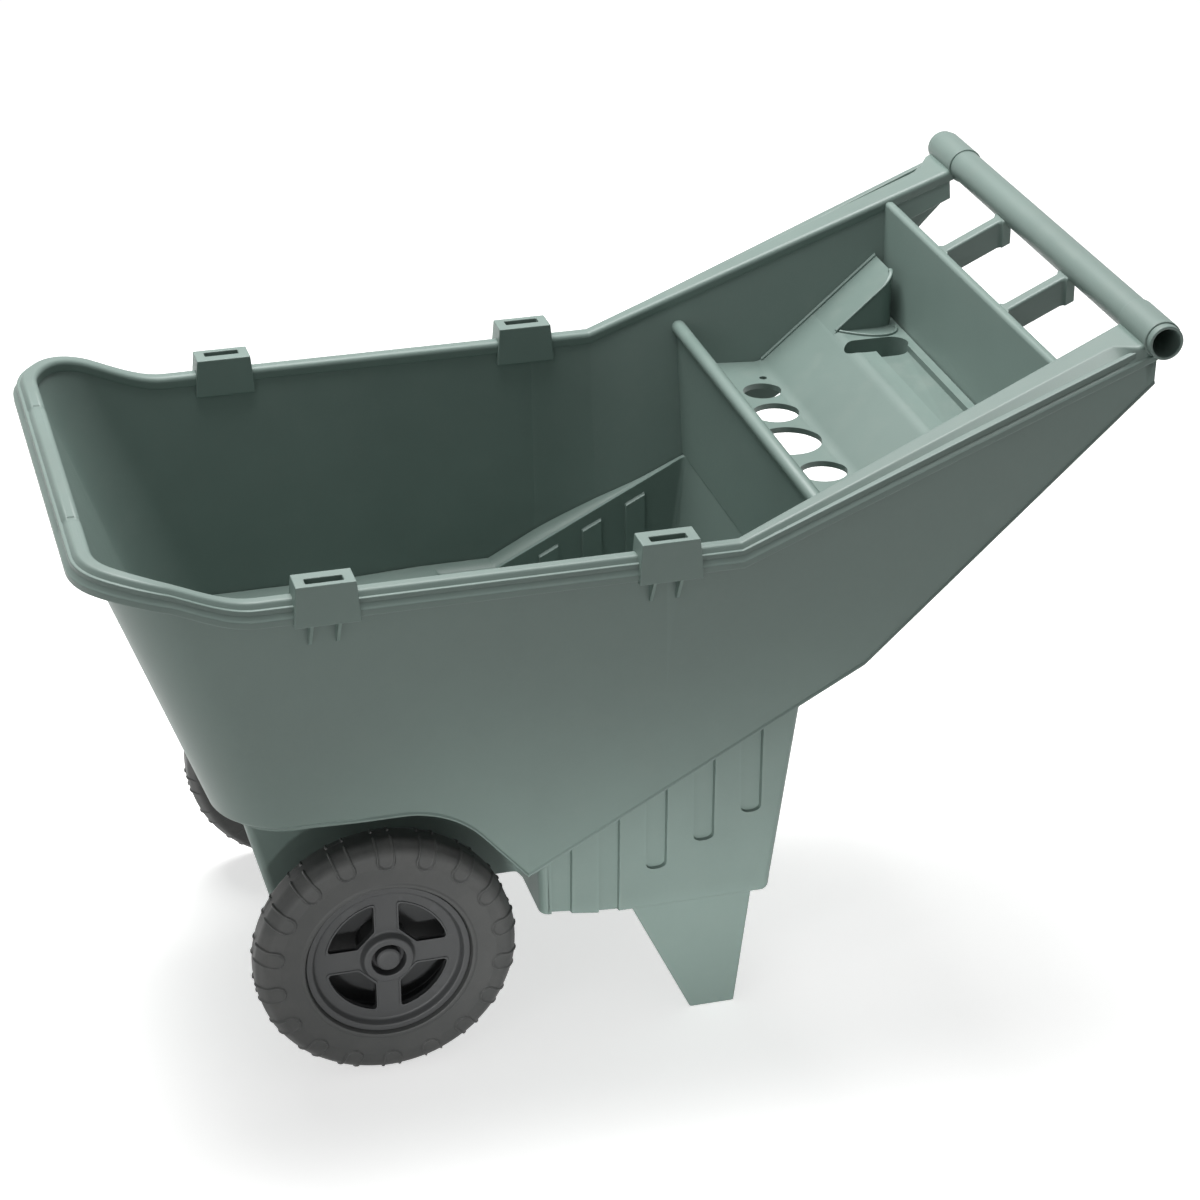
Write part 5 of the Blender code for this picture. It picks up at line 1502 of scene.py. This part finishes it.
    def build(self, bench: Bench, tub: Tub) -> None:
        """Makes and dresses the well's pieces."""
        # The well's pieces take the lighter copy of the sage, which is painted light.
        bench.settle(new_object("well_walls", self.shell()), ["lower_well"], "well")
        bench.settle(self.flange(tub), (), "well")
        bench.settle(self.lugs(), (), "well")


@dataclass
class Legs:
    """The two legs: tapered channels, open on their inner side, with a flat foot."""

    shape: CartShape
    top_z: float = 0.1387
    top: Pair = (0.509, 0.638)
    foot: Pair = (0.576, 0.621)
    depths: Pair = (0.030, 0.048)
    outer_y: float = 0.1945
    wall: float = 0.004
    edge_round: float = 0.0018

    def ring(self, z: float, inset: float, opening: float, side: Side) -> Ring:
        """The leg's plan at a height."""
        share = z / self.top_z
        front = lerp(self.foot[0], self.top[0], share) + inset
        rear = lerp(self.foot[1], self.top[1], share) - inset
        inner = side.value * (self.outer_y - lerp(self.depths[0], self.depths[1], share) - opening)
        outer = side.value * (self.outer_y - inset)
        return flat(rectangle((front, rear), (inner, outer)), z)

    def build(self, bench: Bench) -> None:
        """Makes and dresses the legs."""
        for side in Side:
            solid = loft("leg", [self.ring(z, 0.0, 0.0, side) for z in (0.0, self.top_z)])
            room = loft("room", [self.ring(z, self.wall, self.wall, side)
                                 for z in (self.wall, self.top_z - self.wall)])
            leg = combined(new_object(f"leg_skin_{side.label}", solid), [("DIFFERENCE", room)])
            # The legs take the lighter copy of the sage, which is painted light.
            bench.settle(softened(leg, self.edge_round), [f"leg_{side.label}"], "well")


@dataclass
class Tray:
    """The tool tray: two level floors with a slope between, strip, pocket, trough and tool holes."""

    shape: CartShape
    seam: float = 0.0012
    strip_inner: float = 0.150
    strip_span: Pair = (0.812, 0.893)
    strip_below: float = 0.0003
    strip_round: float = 0.016
    strip_edge: Pair = (0.0045, 0.0018)
    welt_start: float = 0.771
    welt: Pair = (0.0045, 0.0030)
    welt_inset: float = 0.0016
    divider_gap: float = 0.0028
    holes_rear: float = 0.768
    holes: tuple[Pair, ...] = ((0.140, 0.0195), (0.084, 0.0235), (0.015, 0.033), (-0.062, 0.0235),
                               (-0.125, 0.0195))
    peg: Pair = (0.760, 0.172)
    peg_r: float = 0.004
    peg_cut: Pair = (0.4, 0.6)
    edge_round: float = 0.0011
    pocket: tuple[Pair, Pair] = ((0.841, 0.107), (0.875, 0.107))
    pocket_r: float = 0.021
    pocket_depth: float = 0.030
    trough_x: float = 0.870
    trough_width: float = 0.036
    trough_depth: float = 0.007
    trough_span: Pair = (-0.150, 0.107)
    ridge: tuple[Pair, ...] = ((0.8335, 0.1490), (0.8360, 0.1460), (0.8405, 0.1420), (0.8470, 0.1372),
                               (0.8545, 0.1324), (0.8620, 0.1288), (0.8690, 0.1268), (0.8760, 0.1264),
                               (0.8825, 0.1284), (0.8880, 0.1328), (0.8915, 0.1388), (0.8930, 0.1452))
    ridge_size: Pair = (0.0026, 0.0024)
    bar_sunk: float = 0.002
    bar_guard: float = 0.0003

    def half(self, x: float, z: float) -> float:
        """Half the tray's width."""
        return self.shape.cheek_y(x, z) - self.seam / 2

    def slab(self, low_drop: float, high_drop: float, start: float, end: float) -> bpy.types.Mesh:
        """A slab that follows the floor between two depths under its top face."""
        rings = []
        reach = self.shape.tray_fold_reach
        first, last = (spread(fold - reach, fold + reach, 7) for fold in self.shape.tray_slope_span)
        for x in (start, *first, *last, end):
            high, low = self.shape.tray_z(x) - high_drop, self.shape.tray_z(x) - low_drop
            rings.append([Vector((x, side * self.half(x, z), z))
                          for side, z in rectangle((-1, 1), (high, low))])
        return loft("slab", rings)

    def trough(self, wall: float, low_drop: float, high_drop: float) -> bpy.types.Mesh:
        """A shallow hollow across the floor, or the floor's bulge under it."""
        reach, floor = self.trough_width / 2 + wall, self.shape.tray_z
        span = (self.trough_span[0] - wall, self.trough_span[1])
        return loft("trough", [across(x, span, floor(x) - low_drop, floor(x) - high_drop)
                               for x in (self.trough_x - reach, self.trough_x + reach)])

    def strip_rim(self) -> list[Pair]:
        """The strip's near edge and rounded end."""
        start, end = self.strip_span
        r = self.strip_round
        return [(start, self.strip_inner),
                *arc((end - r, self.strip_inner + r), r, -math.pi / 2, math.pi / 2, 10)]

    def strip(self) -> bpy.types.Mesh:
        """The strip along the right cheek that carries the slope on."""
        start, end = self.strip_span
        outline = [*self.strip_rim(), (end, 0.5), (start, 0.5)]

        def place(x: float, y: float, share: float) -> Vector:
            s = self.shape
            z = s.tray_slope_z(x) - self.strip_below if share else s.tray_z(x) - s.tray_drop / 2
            return Vector((x, min(y, self.half(x, z) - self.seam), z))

        return prism("strip", outline, place, 0, 1)

    def capsule(self, radius: float) -> list[Pair]:
        """The pocket's outline."""
        start, end = self.pocket
        turn = math.atan2(end[1] - start[1], end[0] - start[0])
        return (arc(end, radius, turn - math.pi / 2, math.pi, 12)
                + arc(start, radius, turn + math.pi / 2, math.pi, 12))

    def hanging(self, outline: list[Pair], low: float) -> bpy.types.Mesh:
        """The outside of a cup from a height up to the middle of the floor."""
        drop = self.shape.tray_drop / 2

        def place(x: float, y: float, share: float) -> Vector:
            return Vector((x, y, self.shape.tray_z(x) - drop if share else low))

        return prism("cup", outline, place, 0, 1)

    def bar(self, name: str, path: Sequence[Pair], size: Pair,
            level: Callable[[float], float]) -> bpy.types.Object:
        """A bar that stands on the floor along a path, with rounded top edges.

        Args:
            name: The piece's name.
            path: Points of its middle line, seen from above.
            size: Its width and its rise over the floor.
            level: Gives the floor's height at x.

        Returns:
            The piece.
        """
        width, rise = size
        rings = []
        last = len(path) - 1
        for index, (x, y) in enumerate(path):
            ahead, back = path[min(index + 1, last)], path[max(index - 1, 0)]
            way = Vector((ahead[0] - back[0], ahead[1] - back[1], 0)).normalized()
            aside = Vector((-way.y, way.x, 0)) * width / 2
            foot = Vector((x, y, level(x)))
            corners = [foot + aside * shift + Vector((0, 0, above))
                       for shift, above in rectangle((-1, 1), (-self.bar_sunk, rise))]
            radii = [self.bar_guard] * 2 + [width * 0.4] * 2
            rings.append(rounded(corners, radii, 4, self.bar_guard))
        return new_object(name, loft("bar", rings))

    def floor(self) -> bpy.types.Object:
        """The tray's floor with every hollow."""
        s = self.shape
        start = s.divider_x + self.divider_gap
        end = s.crosswall_x - s.crosswall_lean - self.seam
        tray = new_object("tool_tray_skin", self.slab(s.tray_drop, 0.0, start, end))
        pocket_low = s.tray_z(self.pocket[0][0]) - self.pocket_depth
        low, high = s.tray_z(s.divider_x) - 2 * PAST, s.tray_z(self.holes_rear) + 2 * PAST
        tools = [
            ("UNION", self.trough(s.tray_wall, s.tray_drop + self.trough_depth, s.tray_drop / 2)),
            ("UNION", self.hanging(self.capsule(self.pocket_r), pocket_low)),
            ("DIFFERENCE", self.trough(0.0, self.trough_depth, -PAST)),
            ("UNION", self.strip()),
            ("DIFFERENCE", prism("pocket", self.capsule(self.pocket_r - s.tray_wall), along_z,
                                 pocket_low + s.tray_wall, pocket_low + 0.15)),
            ("DIFFERENCE", prism("peg", circle(self.peg, self.peg_r, 20), along_z, *self.peg_cut)),
        ]
        for y, radius in self.holes:
            outline = circle((self.holes_rear - radius, y), radius, 56)
            tools.append(("DIFFERENCE", prism("hole", outline, along_z, low, high)))
        combined(tray, tools)
        return softened(tray, self.edge_round, 2, 30.0)

    def build(self, bench: Bench) -> None:
        """Makes and dresses the tray's pieces."""
        s = self.shape
        bench.settle(self.floor(), ["tool_tray"])
        bench.settle(self.bar("tray_ridge", self.ridge, self.ridge_size, s.tray_z))
        start, *rest = self.strip_rim()
        path = [(x, y + self.strip_edge[0] / 2) for x, y in ((s.tray_slope_span[1], start[1]), *rest)]
        bench.settle(self.bar("tray_strip_edge", path, self.strip_edge, s.tray_slope_z))
        for side in Side:
            level = s.tray_slope_z if side is Side.RIGHT else s.tray_z
            xs = spread(self.welt_start, self.strip_span[1] - 0.001, 16)
            path = [(x, side.value * (self.half(x, level(x)) - self.welt_inset)) for x in xs]
            bench.settle(self.bar(f"tray_edge_{side.label}", path, self.welt, level))


@dataclass
class Divider:
    """The panel between the bay and the tray, with a thick rounded top edge."""

    shape: CartShape
    thickness: float = 0.005
    bead_r: float = 0.0075
    below_rim: float = 0.028
    seam: float = 0.0006
    foot_x: float = 0.690
    above_ledge: float = 0.0003
    end_share: float = 0.992
    end_size: float = 0.8

    def build(self, bench: Bench) -> None:
        """Makes and dresses the divider."""
        s = self.shape
        low = s.ledge_z(self.foot_x) + self.above_ledge
        bead_z = s.rim_top(s.divider_x) - self.below_rim - self.bead_r
        half = self.thickness / 2
        start = -math.acos(half / self.bead_r)
        bead = arc((s.divider_x, bead_z), self.bead_r, start, math.pi - 2 * start, 28)
        profile = [(s.divider_x - half, low), (s.divider_x + half, low), *bead]
        rings = []
        ends = ((1.0, self.end_size), (self.end_share, 1.0))
        for share, size in (*((-share, size) for share, size in ends), *reversed(ends)):
            ring = []
            for x, z in profile:
                point_x = lerp(s.divider_x, x, size)
                point_z = lerp(bead_z, z, size) if z > bead_z else z
                ring.append(Vector((point_x, share * (s.cheek_y(x, z) - self.seam), point_z)))
            rings.append(ring)
        bench.settle(new_object("divider_skin", loft("divider", rings, 50.0)), ["divider_panel"])


@dataclass
class Wheel:
    """One wheel: tyre with shoulder lugs, four-window hub and cap."""

    shape: CartShape
    side: Side
    face_y: float = 0.226
    tyre_width: float = 0.050
    ring_r: float = 0.079
    ring_wall: float = 0.006
    shoulder: float = 0.014
    flank_in: float = 0.022
    edge_in: float = 0.008
    edge_drop: float = 0.002
    bead_proud: float = 0.0008
    tread_drop: float = 0.0013
    lug_count: int = 18
    lug_half: float = 0.0080
    lug_line: float = 0.0019
    lug_height: float = 0.0018
    lug_pad: float = 0.0003
    lug_step: float = 0.0010
    lug_start: float = 0.0032
    lug_ahead: float = 0.005
    lug_behind: float = 0.006
    lug_patch: float = 0.0110
    sidewall_drop: float = 0.0011
    disc_recess: float = 0.011
    disc_wall: float = 0.005
    back_wall: float = 0.003
    ring_recess: float = 0.004
    boss_r: float = 0.0235
    boss_recess: float = 0.003
    foot_run: float = 0.003
    hub_round: float = 0.0018
    boss_inner_y: float = 0.1665
    cap_well_r: float = 0.0167
    cap_well_depth: float = 0.0125
    window_r: Pair = (0.031, 0.059)
    spoke_width: float = 0.024
    collar_width: float = 0.0018
    collar_rise: float = 0.0011
    collar_sunk: float = 0.003
    collar_round: float = 0.0005
    bore: float = 0.0096
    cap_r: float = 0.0118
    cap_span: Pair = (0.2128, 0.2233)
    cap_wall: float = 0.0018

    @property
    def body(self) -> Body:
        """The body that the wheel is."""
        return Body.LEFT_WHEEL if self.side is Side.LEFT else Body.RIGHT_WHEEL

    @property
    def centre(self) -> Vector:
        """Where the axle's line passes through the middle plane."""
        return Vector((self.shape.wheel_x, 0, self.shape.wheel_r))

    def mirrored(self, profile: Sequence[Triple]) -> list[Triple]:
        """A profile drawn for the right wheel, on this wheel's side."""
        return [(radius, self.side.value * y, bend) for radius, y, bend in profile]

    def tyre(self, recipes: Recipes, finish: bpy.types.Material) -> bpy.types.Object:
        """The tyre's smooth body."""
        inner, outer = self.face_y - self.tyre_width, self.face_y - self.sidewall_drop
        tread = self.shape.wheel_r - self.tread_drop
        bore, bead = self.ring_r + 0.0003, outer + self.bead_proud
        flank, edge = tread - self.flank_in, tread - self.edge_in
        profile = [(bore, inner, 0.001), (bore, outer - 0.004, 0.001), (bore + 0.0015, bead, 0.0012),
                   (bore + 0.0045, bead, 0.0014), (bore + 0.0062, outer, 0.002), (flank, outer, 0.010),
                   (edge, outer - self.edge_drop, 0.010), (tread, outer - self.shoulder, 0.012),
                   (tread, inner + self.shoulder, 0.012), (edge, inner + self.edge_drop, 0.010),
                   (flank, inner, 0.010)]
        name = f"tyre_skin_{self.side.label}"
        return recipes.turned(name, self.mirrored(profile), 120, self.centre, finish)

    def shoulder_path(self) -> list[Pair]:
        """Points of the outer shoulder from the sidewall to the tread, about a millimetre apart."""
        outer, tread = self.face_y - self.sidewall_drop, self.shape.wheel_r - self.tread_drop
        corners = [Vector((radius, y, 0.0)) for radius, y in (
            (tread - self.flank_in - self.lug_ahead, outer), (tread - self.flank_in, outer),
            (tread - self.edge_in, outer - self.edge_drop), (tread, outer - self.shoulder),
            (tread, outer - self.shoulder - self.lug_behind))]
        points = [corners[0]]
        for back, corner, ahead in zip(corners, corners[1:], corners[2:]):
            start, end = corner.lerp(back, 0.45), corner.lerp(ahead, 0.45)
            points.extend(start.lerp(corner, t).lerp(corner.lerp(end, t), t) for t in spread(0.0, 1.0, 7))
        points.append(corners[-1])
        length = sum((b - a).length for a, b in zip(points, points[1:]))
        count = round(length / self.lug_step)
        path, walked, index = [], 0.0, 0
        for step in range(count + 1):
            target = length * step / count
            while index < len(points) - 2 and walked + (points[index + 1] - points[index]).length < target:
                walked += (points[index + 1] - points[index]).length
                index += 1
            leg = (points[index + 1] - points[index]).length
            point = points[index].lerp(points[index + 1], min((target - walked) / leg, 1.0))
            path.append((point.x, point.y))
        return path

    def lug_relief(self, along: float, aside: float) -> float:
        """Height of a lug over the tyre: a raised U that opens towards the tread, round a low pad."""
        reach = self.lug_half
        away = abs(aside) - reach if along > reach else math.hypot(along - reach, aside) - reach
        line = self.lug_height * (1 - ease(abs(away) / self.lug_line))
        pad = self.lug_pad * ease(-away / 0.001)
        outside = -0.0008 * ease((away - self.lug_line * 0.6) / 0.0008)
        return max(line, pad) + outside

    def lug(self) -> bpy.types.Mesh:
        """One lug on each shoulder, drawn at the lowest place of the wheel about the axle."""
        path = self.shoulder_path()
        columns = spread(-self.lug_patch, self.lug_patch, 27)
        meshes = []
        for flip in (False, True):
            rings = []
            for index, (radius, y) in enumerate(path):
                back, ahead = path[max(index - 1, 0)], path[min(index + 1, len(path) - 1)]
                way = Vector((ahead[0] - back[0], ahead[1] - back[1])).normalized()
                out = Vector((-way[1], way[0]))
                along = self.lug_step * index - self.lug_start
                edge = index in (0, len(path) - 1)
                ring = []
                for aside, sunk in [(a, False) for a in columns] + [(a, True) for a in reversed(columns)]:
                    lift = -0.003 if sunk else min(self.lug_relief(along, aside), -0.0004 if edge else 1.0)
                    r, level = radius + out[0] * lift, y + out[1] * lift
                    turn = aside / radius
                    mirror = 2 * self.face_y - self.tyre_width - level if flip else level
                    ring.append(Vector((r * math.sin(turn), self.side.value * mirror, -r * math.cos(turn))))
                rings.append(ring)
            meshes.append(loft("lug", rings, 60.0))
        return joined("lug", meshes)

    def hub(self, recipes: Recipes, finish: bpy.types.Material) -> bpy.types.Object:
        """The hub: ring, disc with four windows, and boss."""
        outer, inner = self.face_y, self.face_y - self.tyre_width
        ring_in = self.ring_r - self.ring_wall
        face = outer - self.disc_recess
        back, boss_face = face - self.disc_wall, outer - self.boss_recess
        well, ring_face, rear = boss_face - self.cap_well_depth, outer - self.ring_recess, inner + 0.002
        profile = [
            (self.bore, self.boss_inner_y, 0.0004), (self.bore, well, 0.0004),
            (self.cap_well_r, well, 0.0004), (self.cap_well_r, boss_face, 0.0010),
            (self.boss_r, boss_face, 0.0022), (self.boss_r + self.foot_run, face, 0.0020),
            (ring_in - self.foot_run, face, 0.0025), (ring_in, ring_face, 0.0016),
            (self.ring_r, ring_face, 0.0010), (self.ring_r, rear, 0.0010), (self.boss_r, rear, 0.0010),
            (self.boss_r, self.boss_inner_y, 0.0006),
        ]
        name = f"hub_skin_{self.side.label}"
        hub = recipes.turned(name, self.mirrored(profile), 96, self.centre, finish)
        hollow = [(radius, y, 0.001) for radius, y in (
            (self.boss_r, rear + self.back_wall), (self.boss_r, back), (ring_in, back),
            (ring_in, rear + self.back_wall))]
        room = taken(recipes.turned("hub_room", self.mirrored(hollow), 96, self.centre, finish))
        cut = (outer - self.tyre_width / 2, outer)
        tools = [room, *(self.window(turn, 0.0, cut) for turn in range(4))]
        combined(hub, [("DIFFERENCE", tool) for tool in tools])
        return softened(hub, self.hub_round, 3, 38.0)

    def window(self, quarter: int, growth: float, span: Pair) -> bpy.types.Mesh:
        """A body with the outline of one of the four openings between the spokes.

        Args:
            quarter: Which opening.
            growth: How far the outline lies outside the opening.
            span: Where the body starts and ends on the wheel's line, drawn for the right wheel.

        Returns:
            The mesh.
        """
        half = self.spoke_width / 2 - growth
        low, high = self.window_r[0] - growth, self.window_r[1] + growth
        first, last = math.asin(half / low), math.asin(half / high)
        turn = math.pi / 2 * quarter
        corners = []
        for step in range(9):
            angle = turn + last + (math.pi / 2 - 2 * last) * step / 8
            corners.append((high * math.cos(angle), high * math.sin(angle)))
        for angle in (turn + math.pi / 2 - first, turn + first):
            corners.append((low * math.cos(angle), low * math.sin(angle)))
        points = [Vector((x, 0, z)) + self.centre for x, z in corners]
        radii = [0.005, *[0.02] * 7, 0.005, 0.004, 0.004]
        outline = [(p.x, p.z) for p in rounded(points, radii, 4, 0.0005)]
        start, end = sorted(self.side.value * y for y in span)
        return prism("window", outline, along_y, start, end)

    def window_collars(self) -> bpy.types.Object:
        """The raised line round each opening."""
        face = self.face_y - self.disc_recess
        line, cut = (face - self.collar_sunk, face + self.collar_rise), (face - PAST, face + PAST)
        meshes = [self.window(turn, self.collar_width, line) for turn in range(4)]
        collars = new_object(f"hub_collars_{self.side.label}", joined("collars", meshes))
        combined(collars, [("DIFFERENCE", self.window(turn, 0.0, cut)) for turn in range(4)])
        return softened(collars, self.collar_round, 2, 50.0)

    def cap(self, recipes: Recipes, finish: bpy.types.Material) -> bpy.types.Object:
        """The cap over the push nut, slightly domed."""
        start, end = self.cap_span
        inner, roof = self.cap_r - self.cap_wall, end - self.cap_wall - 0.0008
        profile = [(0.0, end, 0.0002), (self.cap_r * 0.45, end - 0.0001, 0.002),
                   (inner, end - 0.0006, 0.0016), (self.cap_r, end - 0.0022, 0.0008),
                   (self.cap_r, start, 0.0004), (inner, start, 0.0004), (inner, roof, 0.0004),
                   (0.0, roof, 0.0002)]
        name = f"hub_cap_skin_{self.side.label}"
        return recipes.turned(name, self.mirrored(profile), 48, self.centre, finish)

    def build(self, bench: Bench, recipes: Recipes) -> None:
        """Makes and dresses one wheel."""
        label = self.side.label
        tyre_finish = f"tyre_{label}"
        finish = bench.materials[tyre_finish]
        bench.settle(self.tyre(recipes, finish), [f"tyre_{label}"], tyre_finish, self.body, Slot.TYRE)
        lugs = new_object(f"tyre_lugs_{label}", self.lug())
        recipes.ring.run(lugs, {"Count": self.lug_count, "Centre": self.centre, "First Turn": 0.0,
                                "Finish": finish})
        bench.settle(lugs, (), tyre_finish, self.body, Slot.TYRE)
        finish = bench.materials["hub"]
        bench.settle(self.hub(recipes, finish), [f"wheel_hub_{label}"], "hub", self.body, Slot.HUB)
        bench.settle(self.window_collars(), (), "hub", self.body, Slot.HUB)
        bench.settle(self.cap(recipes, finish), [f"hub_cap_{label}"], "hub", Body.CART, Slot.HUB)


@dataclass
class Screws:
    """Pan-head screws from below, with a cross recess."""

    shape: CartShape
    head_r: float = 0.0048
    head: float = 0.0028
    shank_r: float = 0.0021
    cross: Pair = (0.0026, 0.00055)
    sides: int = 28

    def screw(self, length: float) -> bpy.types.Mesh:
        """One screw, its head's seat at the origin and its shank up."""
        rings = []
        for radius, z in ((0.55, -1.0), (0.84, -0.86), (0.97, -0.5), (1.0, -0.1), (1.0, 0.0)):
            rings.append(flat(circle((0, 0), self.head_r * radius, self.sides), self.head * z))
        for z in (0.0, length * 0.9, length):
            radius = self.shank_r * (1.0 if z < length else 0.6)
            rings.append(flat(circle((0, 0), radius, self.sides), z))
        piece = new_object("screw", loft("screw", rings))
        tools = []
        for reach, half in (self.cross, self.cross[::-1]):
            bar = rectangle((-reach, reach), (-half, half))
            tools.append(("DIFFERENCE", prism("cross", bar, along_z, -self.head * 1.2, -self.head * 0.45)))
        return taken(combined(piece, tools))

    def build(self, bench: Bench, recipes: Recipes) -> None:
        """Makes one row of screws for each family."""
        for family in ("well_screw", "tray_screw", "leg_screw"):
            nodes = sorted(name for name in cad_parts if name.startswith(family))
            places, length = [], 0.0
            for node in nodes:
                low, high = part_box(node)
                middle = (low + high) / 2
                places.append(Vector((middle.x + self.shape.half_length, middle.y, low.z + self.head)))
                length = high.z - low.z - self.head
            rows = recipes.repeated(f"{family}s", self.screw(length), places, bench.materials["steel"])
            bench.settle(rows, nodes, "steel", Body.CART, Slot.STEEL)


@dataclass
class Studio:
    """Plain pale floor, soft light and the camera at the photograph's viewing angle."""

    azimuth: float = -15.6
    elevation: float = 27.0
    distance: float = 3.2
    focal_share: float = 1012.0
    image_width: int = 1200
    aim: Triple = (0.034, 0.0, 0.362)
    floor_colour: Triple = (0.86, 0.86, 0.85)
    floor_glow: float = 0.60
    ambient: float = 0.20

    def camera(self) -> None:
        """Creates the camera."""
        data = bpy.data.cameras.new("viewer")
        data.sensor_width = 36.0
        data.lens = self.focal_share * self.distance / self.image_width * data.sensor_width
        data.clip_end = 60.0
        viewer = bpy.data.objects.new("viewer", data)
        bpy.context.scene.collection.objects.link(viewer)
        turn, lift = math.radians(self.azimuth), math.radians(self.elevation)
        back = Vector((math.sin(turn) * math.cos(lift), -math.cos(turn) * math.cos(lift), math.sin(lift)))
        viewer.location = Vector(self.aim) + back * self.distance
        viewer.rotation_mode = "QUATERNION"
        viewer.rotation_quaternion = (-back).to_track_quat("-Z", "Y")
        bpy.context.scene.camera = viewer

    def lamp(self, name: str, place: Triple, size: Pair, power: float,
             aim: Triple = (0.0, 0.0, 0.3), spread_angle: float = math.pi) -> None:
        """Adds a rectangular soft light.

        Args:
            name: The lamp's name.
            place: Where it stands.
            size: Its width and height.
            power: Its power in watts.
            aim: The point it looks at.
            spread_angle: How wide its beam opens.
        """
        data = bpy.data.lights.new(name, "AREA")
        data.shape = "RECTANGLE"
        data.size, data.size_y = size
        data.energy = power
        data.spread = spread_angle
        lamp = bpy.data.objects.new(name, data)
        bpy.context.scene.collection.objects.link(lamp)
        lamp.location = place
        lamp.rotation_mode = "QUATERNION"
        lamp.rotation_quaternion = (Vector(aim) - Vector(place)).to_track_quat("-Z", "Y")

    def seen(self, net: Network) -> Tap:
        """1 for rays from the camera, in mirrors and through glass."""
        path = net.node("ShaderNodeLightPath")
        camera, mirror, glass = (Tap(net, path.outputs[name]) for name in
                                 ("Is Camera Ray", "Is Glossy Ray", "Is Transmission Ray"))
        return camera.math("MAXIMUM", camera.math("MAXIMUM", camera, mirror), glass)

    def world(self) -> None:
        """White where it is seen, plain ambient light elsewhere."""
        world = bpy.data.worlds.new("studio")
        world.use_nodes = True
        bpy.context.scene.world = world
        net = Network(world.node_tree)
        seen = self.seen(net)
        net.feed(net.tree.nodes["Background"],
                 {"Color": (1, 1, 1, 1), "Strength": seen + (1 - seen) * self.ambient})

    def floor(self) -> None:
        """A wide floor that is white to the camera and keeps the cart's shadow."""
        bm = bmesh.new()
        bmesh.ops.create_grid(bm, x_segments=1, y_segments=1, size=14.0)
        mesh = bpy.data.meshes.new("studio_floor")
        bm.to_mesh(mesh)
        bm.free()
        sheet = new_object("studio_floor", mesh)
        sheet.location.z = -0.0004
        net = Surface("studio_floor")
        glow = net.blend(self.seen(net), opaque((0.0, 0.0, 0.0)), opaque([self.floor_glow] * 3))
        net.feed(net.shader, {"Base Color": opaque(self.floor_colour), "Roughness": 0.9,
                              "Specular IOR Level": 0.0, "Emission Strength": 1.0, "Emission Color": glow})
        mesh.materials.append(net.material)

    def build(self) -> None:
        """Sets up the floor, light, camera and view."""
        bpy.context.scene.view_settings.view_transform = "Standard"
        self.camera()
        self.world()
        self.floor()
        self.lamp("overhead", (-0.25, 0.75, 2.9), (1.8, 1.8), 118.0)
        self.lamp("front_left", (-2.4, -2.4, 1.7), (1.0, 1.0), 5.0)
        self.lamp("low_front", (-0.4, -2.4, 0.2), (0.8, 0.2), 0.8, (0.16, -0.2, 0.10), math.radians(16))


def finishes(shape: CartShape) -> dict[str, bpy.types.Material]:
    """Builds every finish.

    Args:
        shape: The cart's sizes, which place the wheels' patterns.

    Returns:
        The materials by key.
    """
    hub_centre = (shape.wheel_x - shape.half_length, 0.0, shape.wheel_r)
    made = {
        "body": MouldedPlastic("sage_plastic", (0.142, 0.196, 0.176)).make(),
        # The body's sage made lighter for the well, flange, lugs and legs: painted light, since these lower
        # parts stand brighter than the tub's walls.
        "well": MouldedPlastic("light_sage_plastic", (0.158, 0.214, 0.193)).make(),
        "hub": WheelPlastic("grey_hub_plastic", (0.040, 0.042, 0.043), hub_centre, dust=0.12).make(),
        "black": MouldedPlastic("black_nylon", (0.018, 0.018, 0.019), dust=0.04, edge_wear=0.1).make(),
        "steel": PlatedSteel("plated_steel", (0.56, 0.57, 0.58)).make(),
        "dark_steel": PlatedSteel("oiled_steel", (0.030, 0.030, 0.032), 0.5, 0.6, 0.05).make(),
    }
    for side in Side:
        tyre = WheelPlastic(f"grey_tyre_{side.label}", (0.040, 0.042, 0.041), hub_centre)
        made[f"tyre_{side.label}"] = tyre.make()
    return made


def main() -> None:
    """Builds the cart and the studio."""
    logging.basicConfig(level=logging.INFO, format="%(name)s: %(message)s")
    shape = CartShape()
    bench = Bench(shape.half_length, finishes(shape))
    recipes = Recipes()
    tub = Tub(shape)
    tub.build(bench, recipes)
    HandleTube(shape).build(bench, recipes)
    Well(shape).build(bench, tub)
    Legs(shape).build(bench)
    Tray(shape).build(bench)
    Divider(shape).build(bench)
    for side in Side:
        Wheel(shape, side).build(bench, recipes)
    Screws(shape).build(bench, recipes)
    for side in Side:
        for node in ("axle_spacer", "wheel_bush"):
            bench.dress(f"{node}_{side.label}", "black")
        for node in ("inner_washer", "push_nut"):
            bench.dress(f"{node}_{side.label}", "steel")
        bench.dress(f"outer_washer_{side.label}", "dark_steel")
    bench.dress("axle", "steel")
    Studio().build()
    LOG.info("%d pieces made", bench.count)


if __name__ == "__main__":
    main()
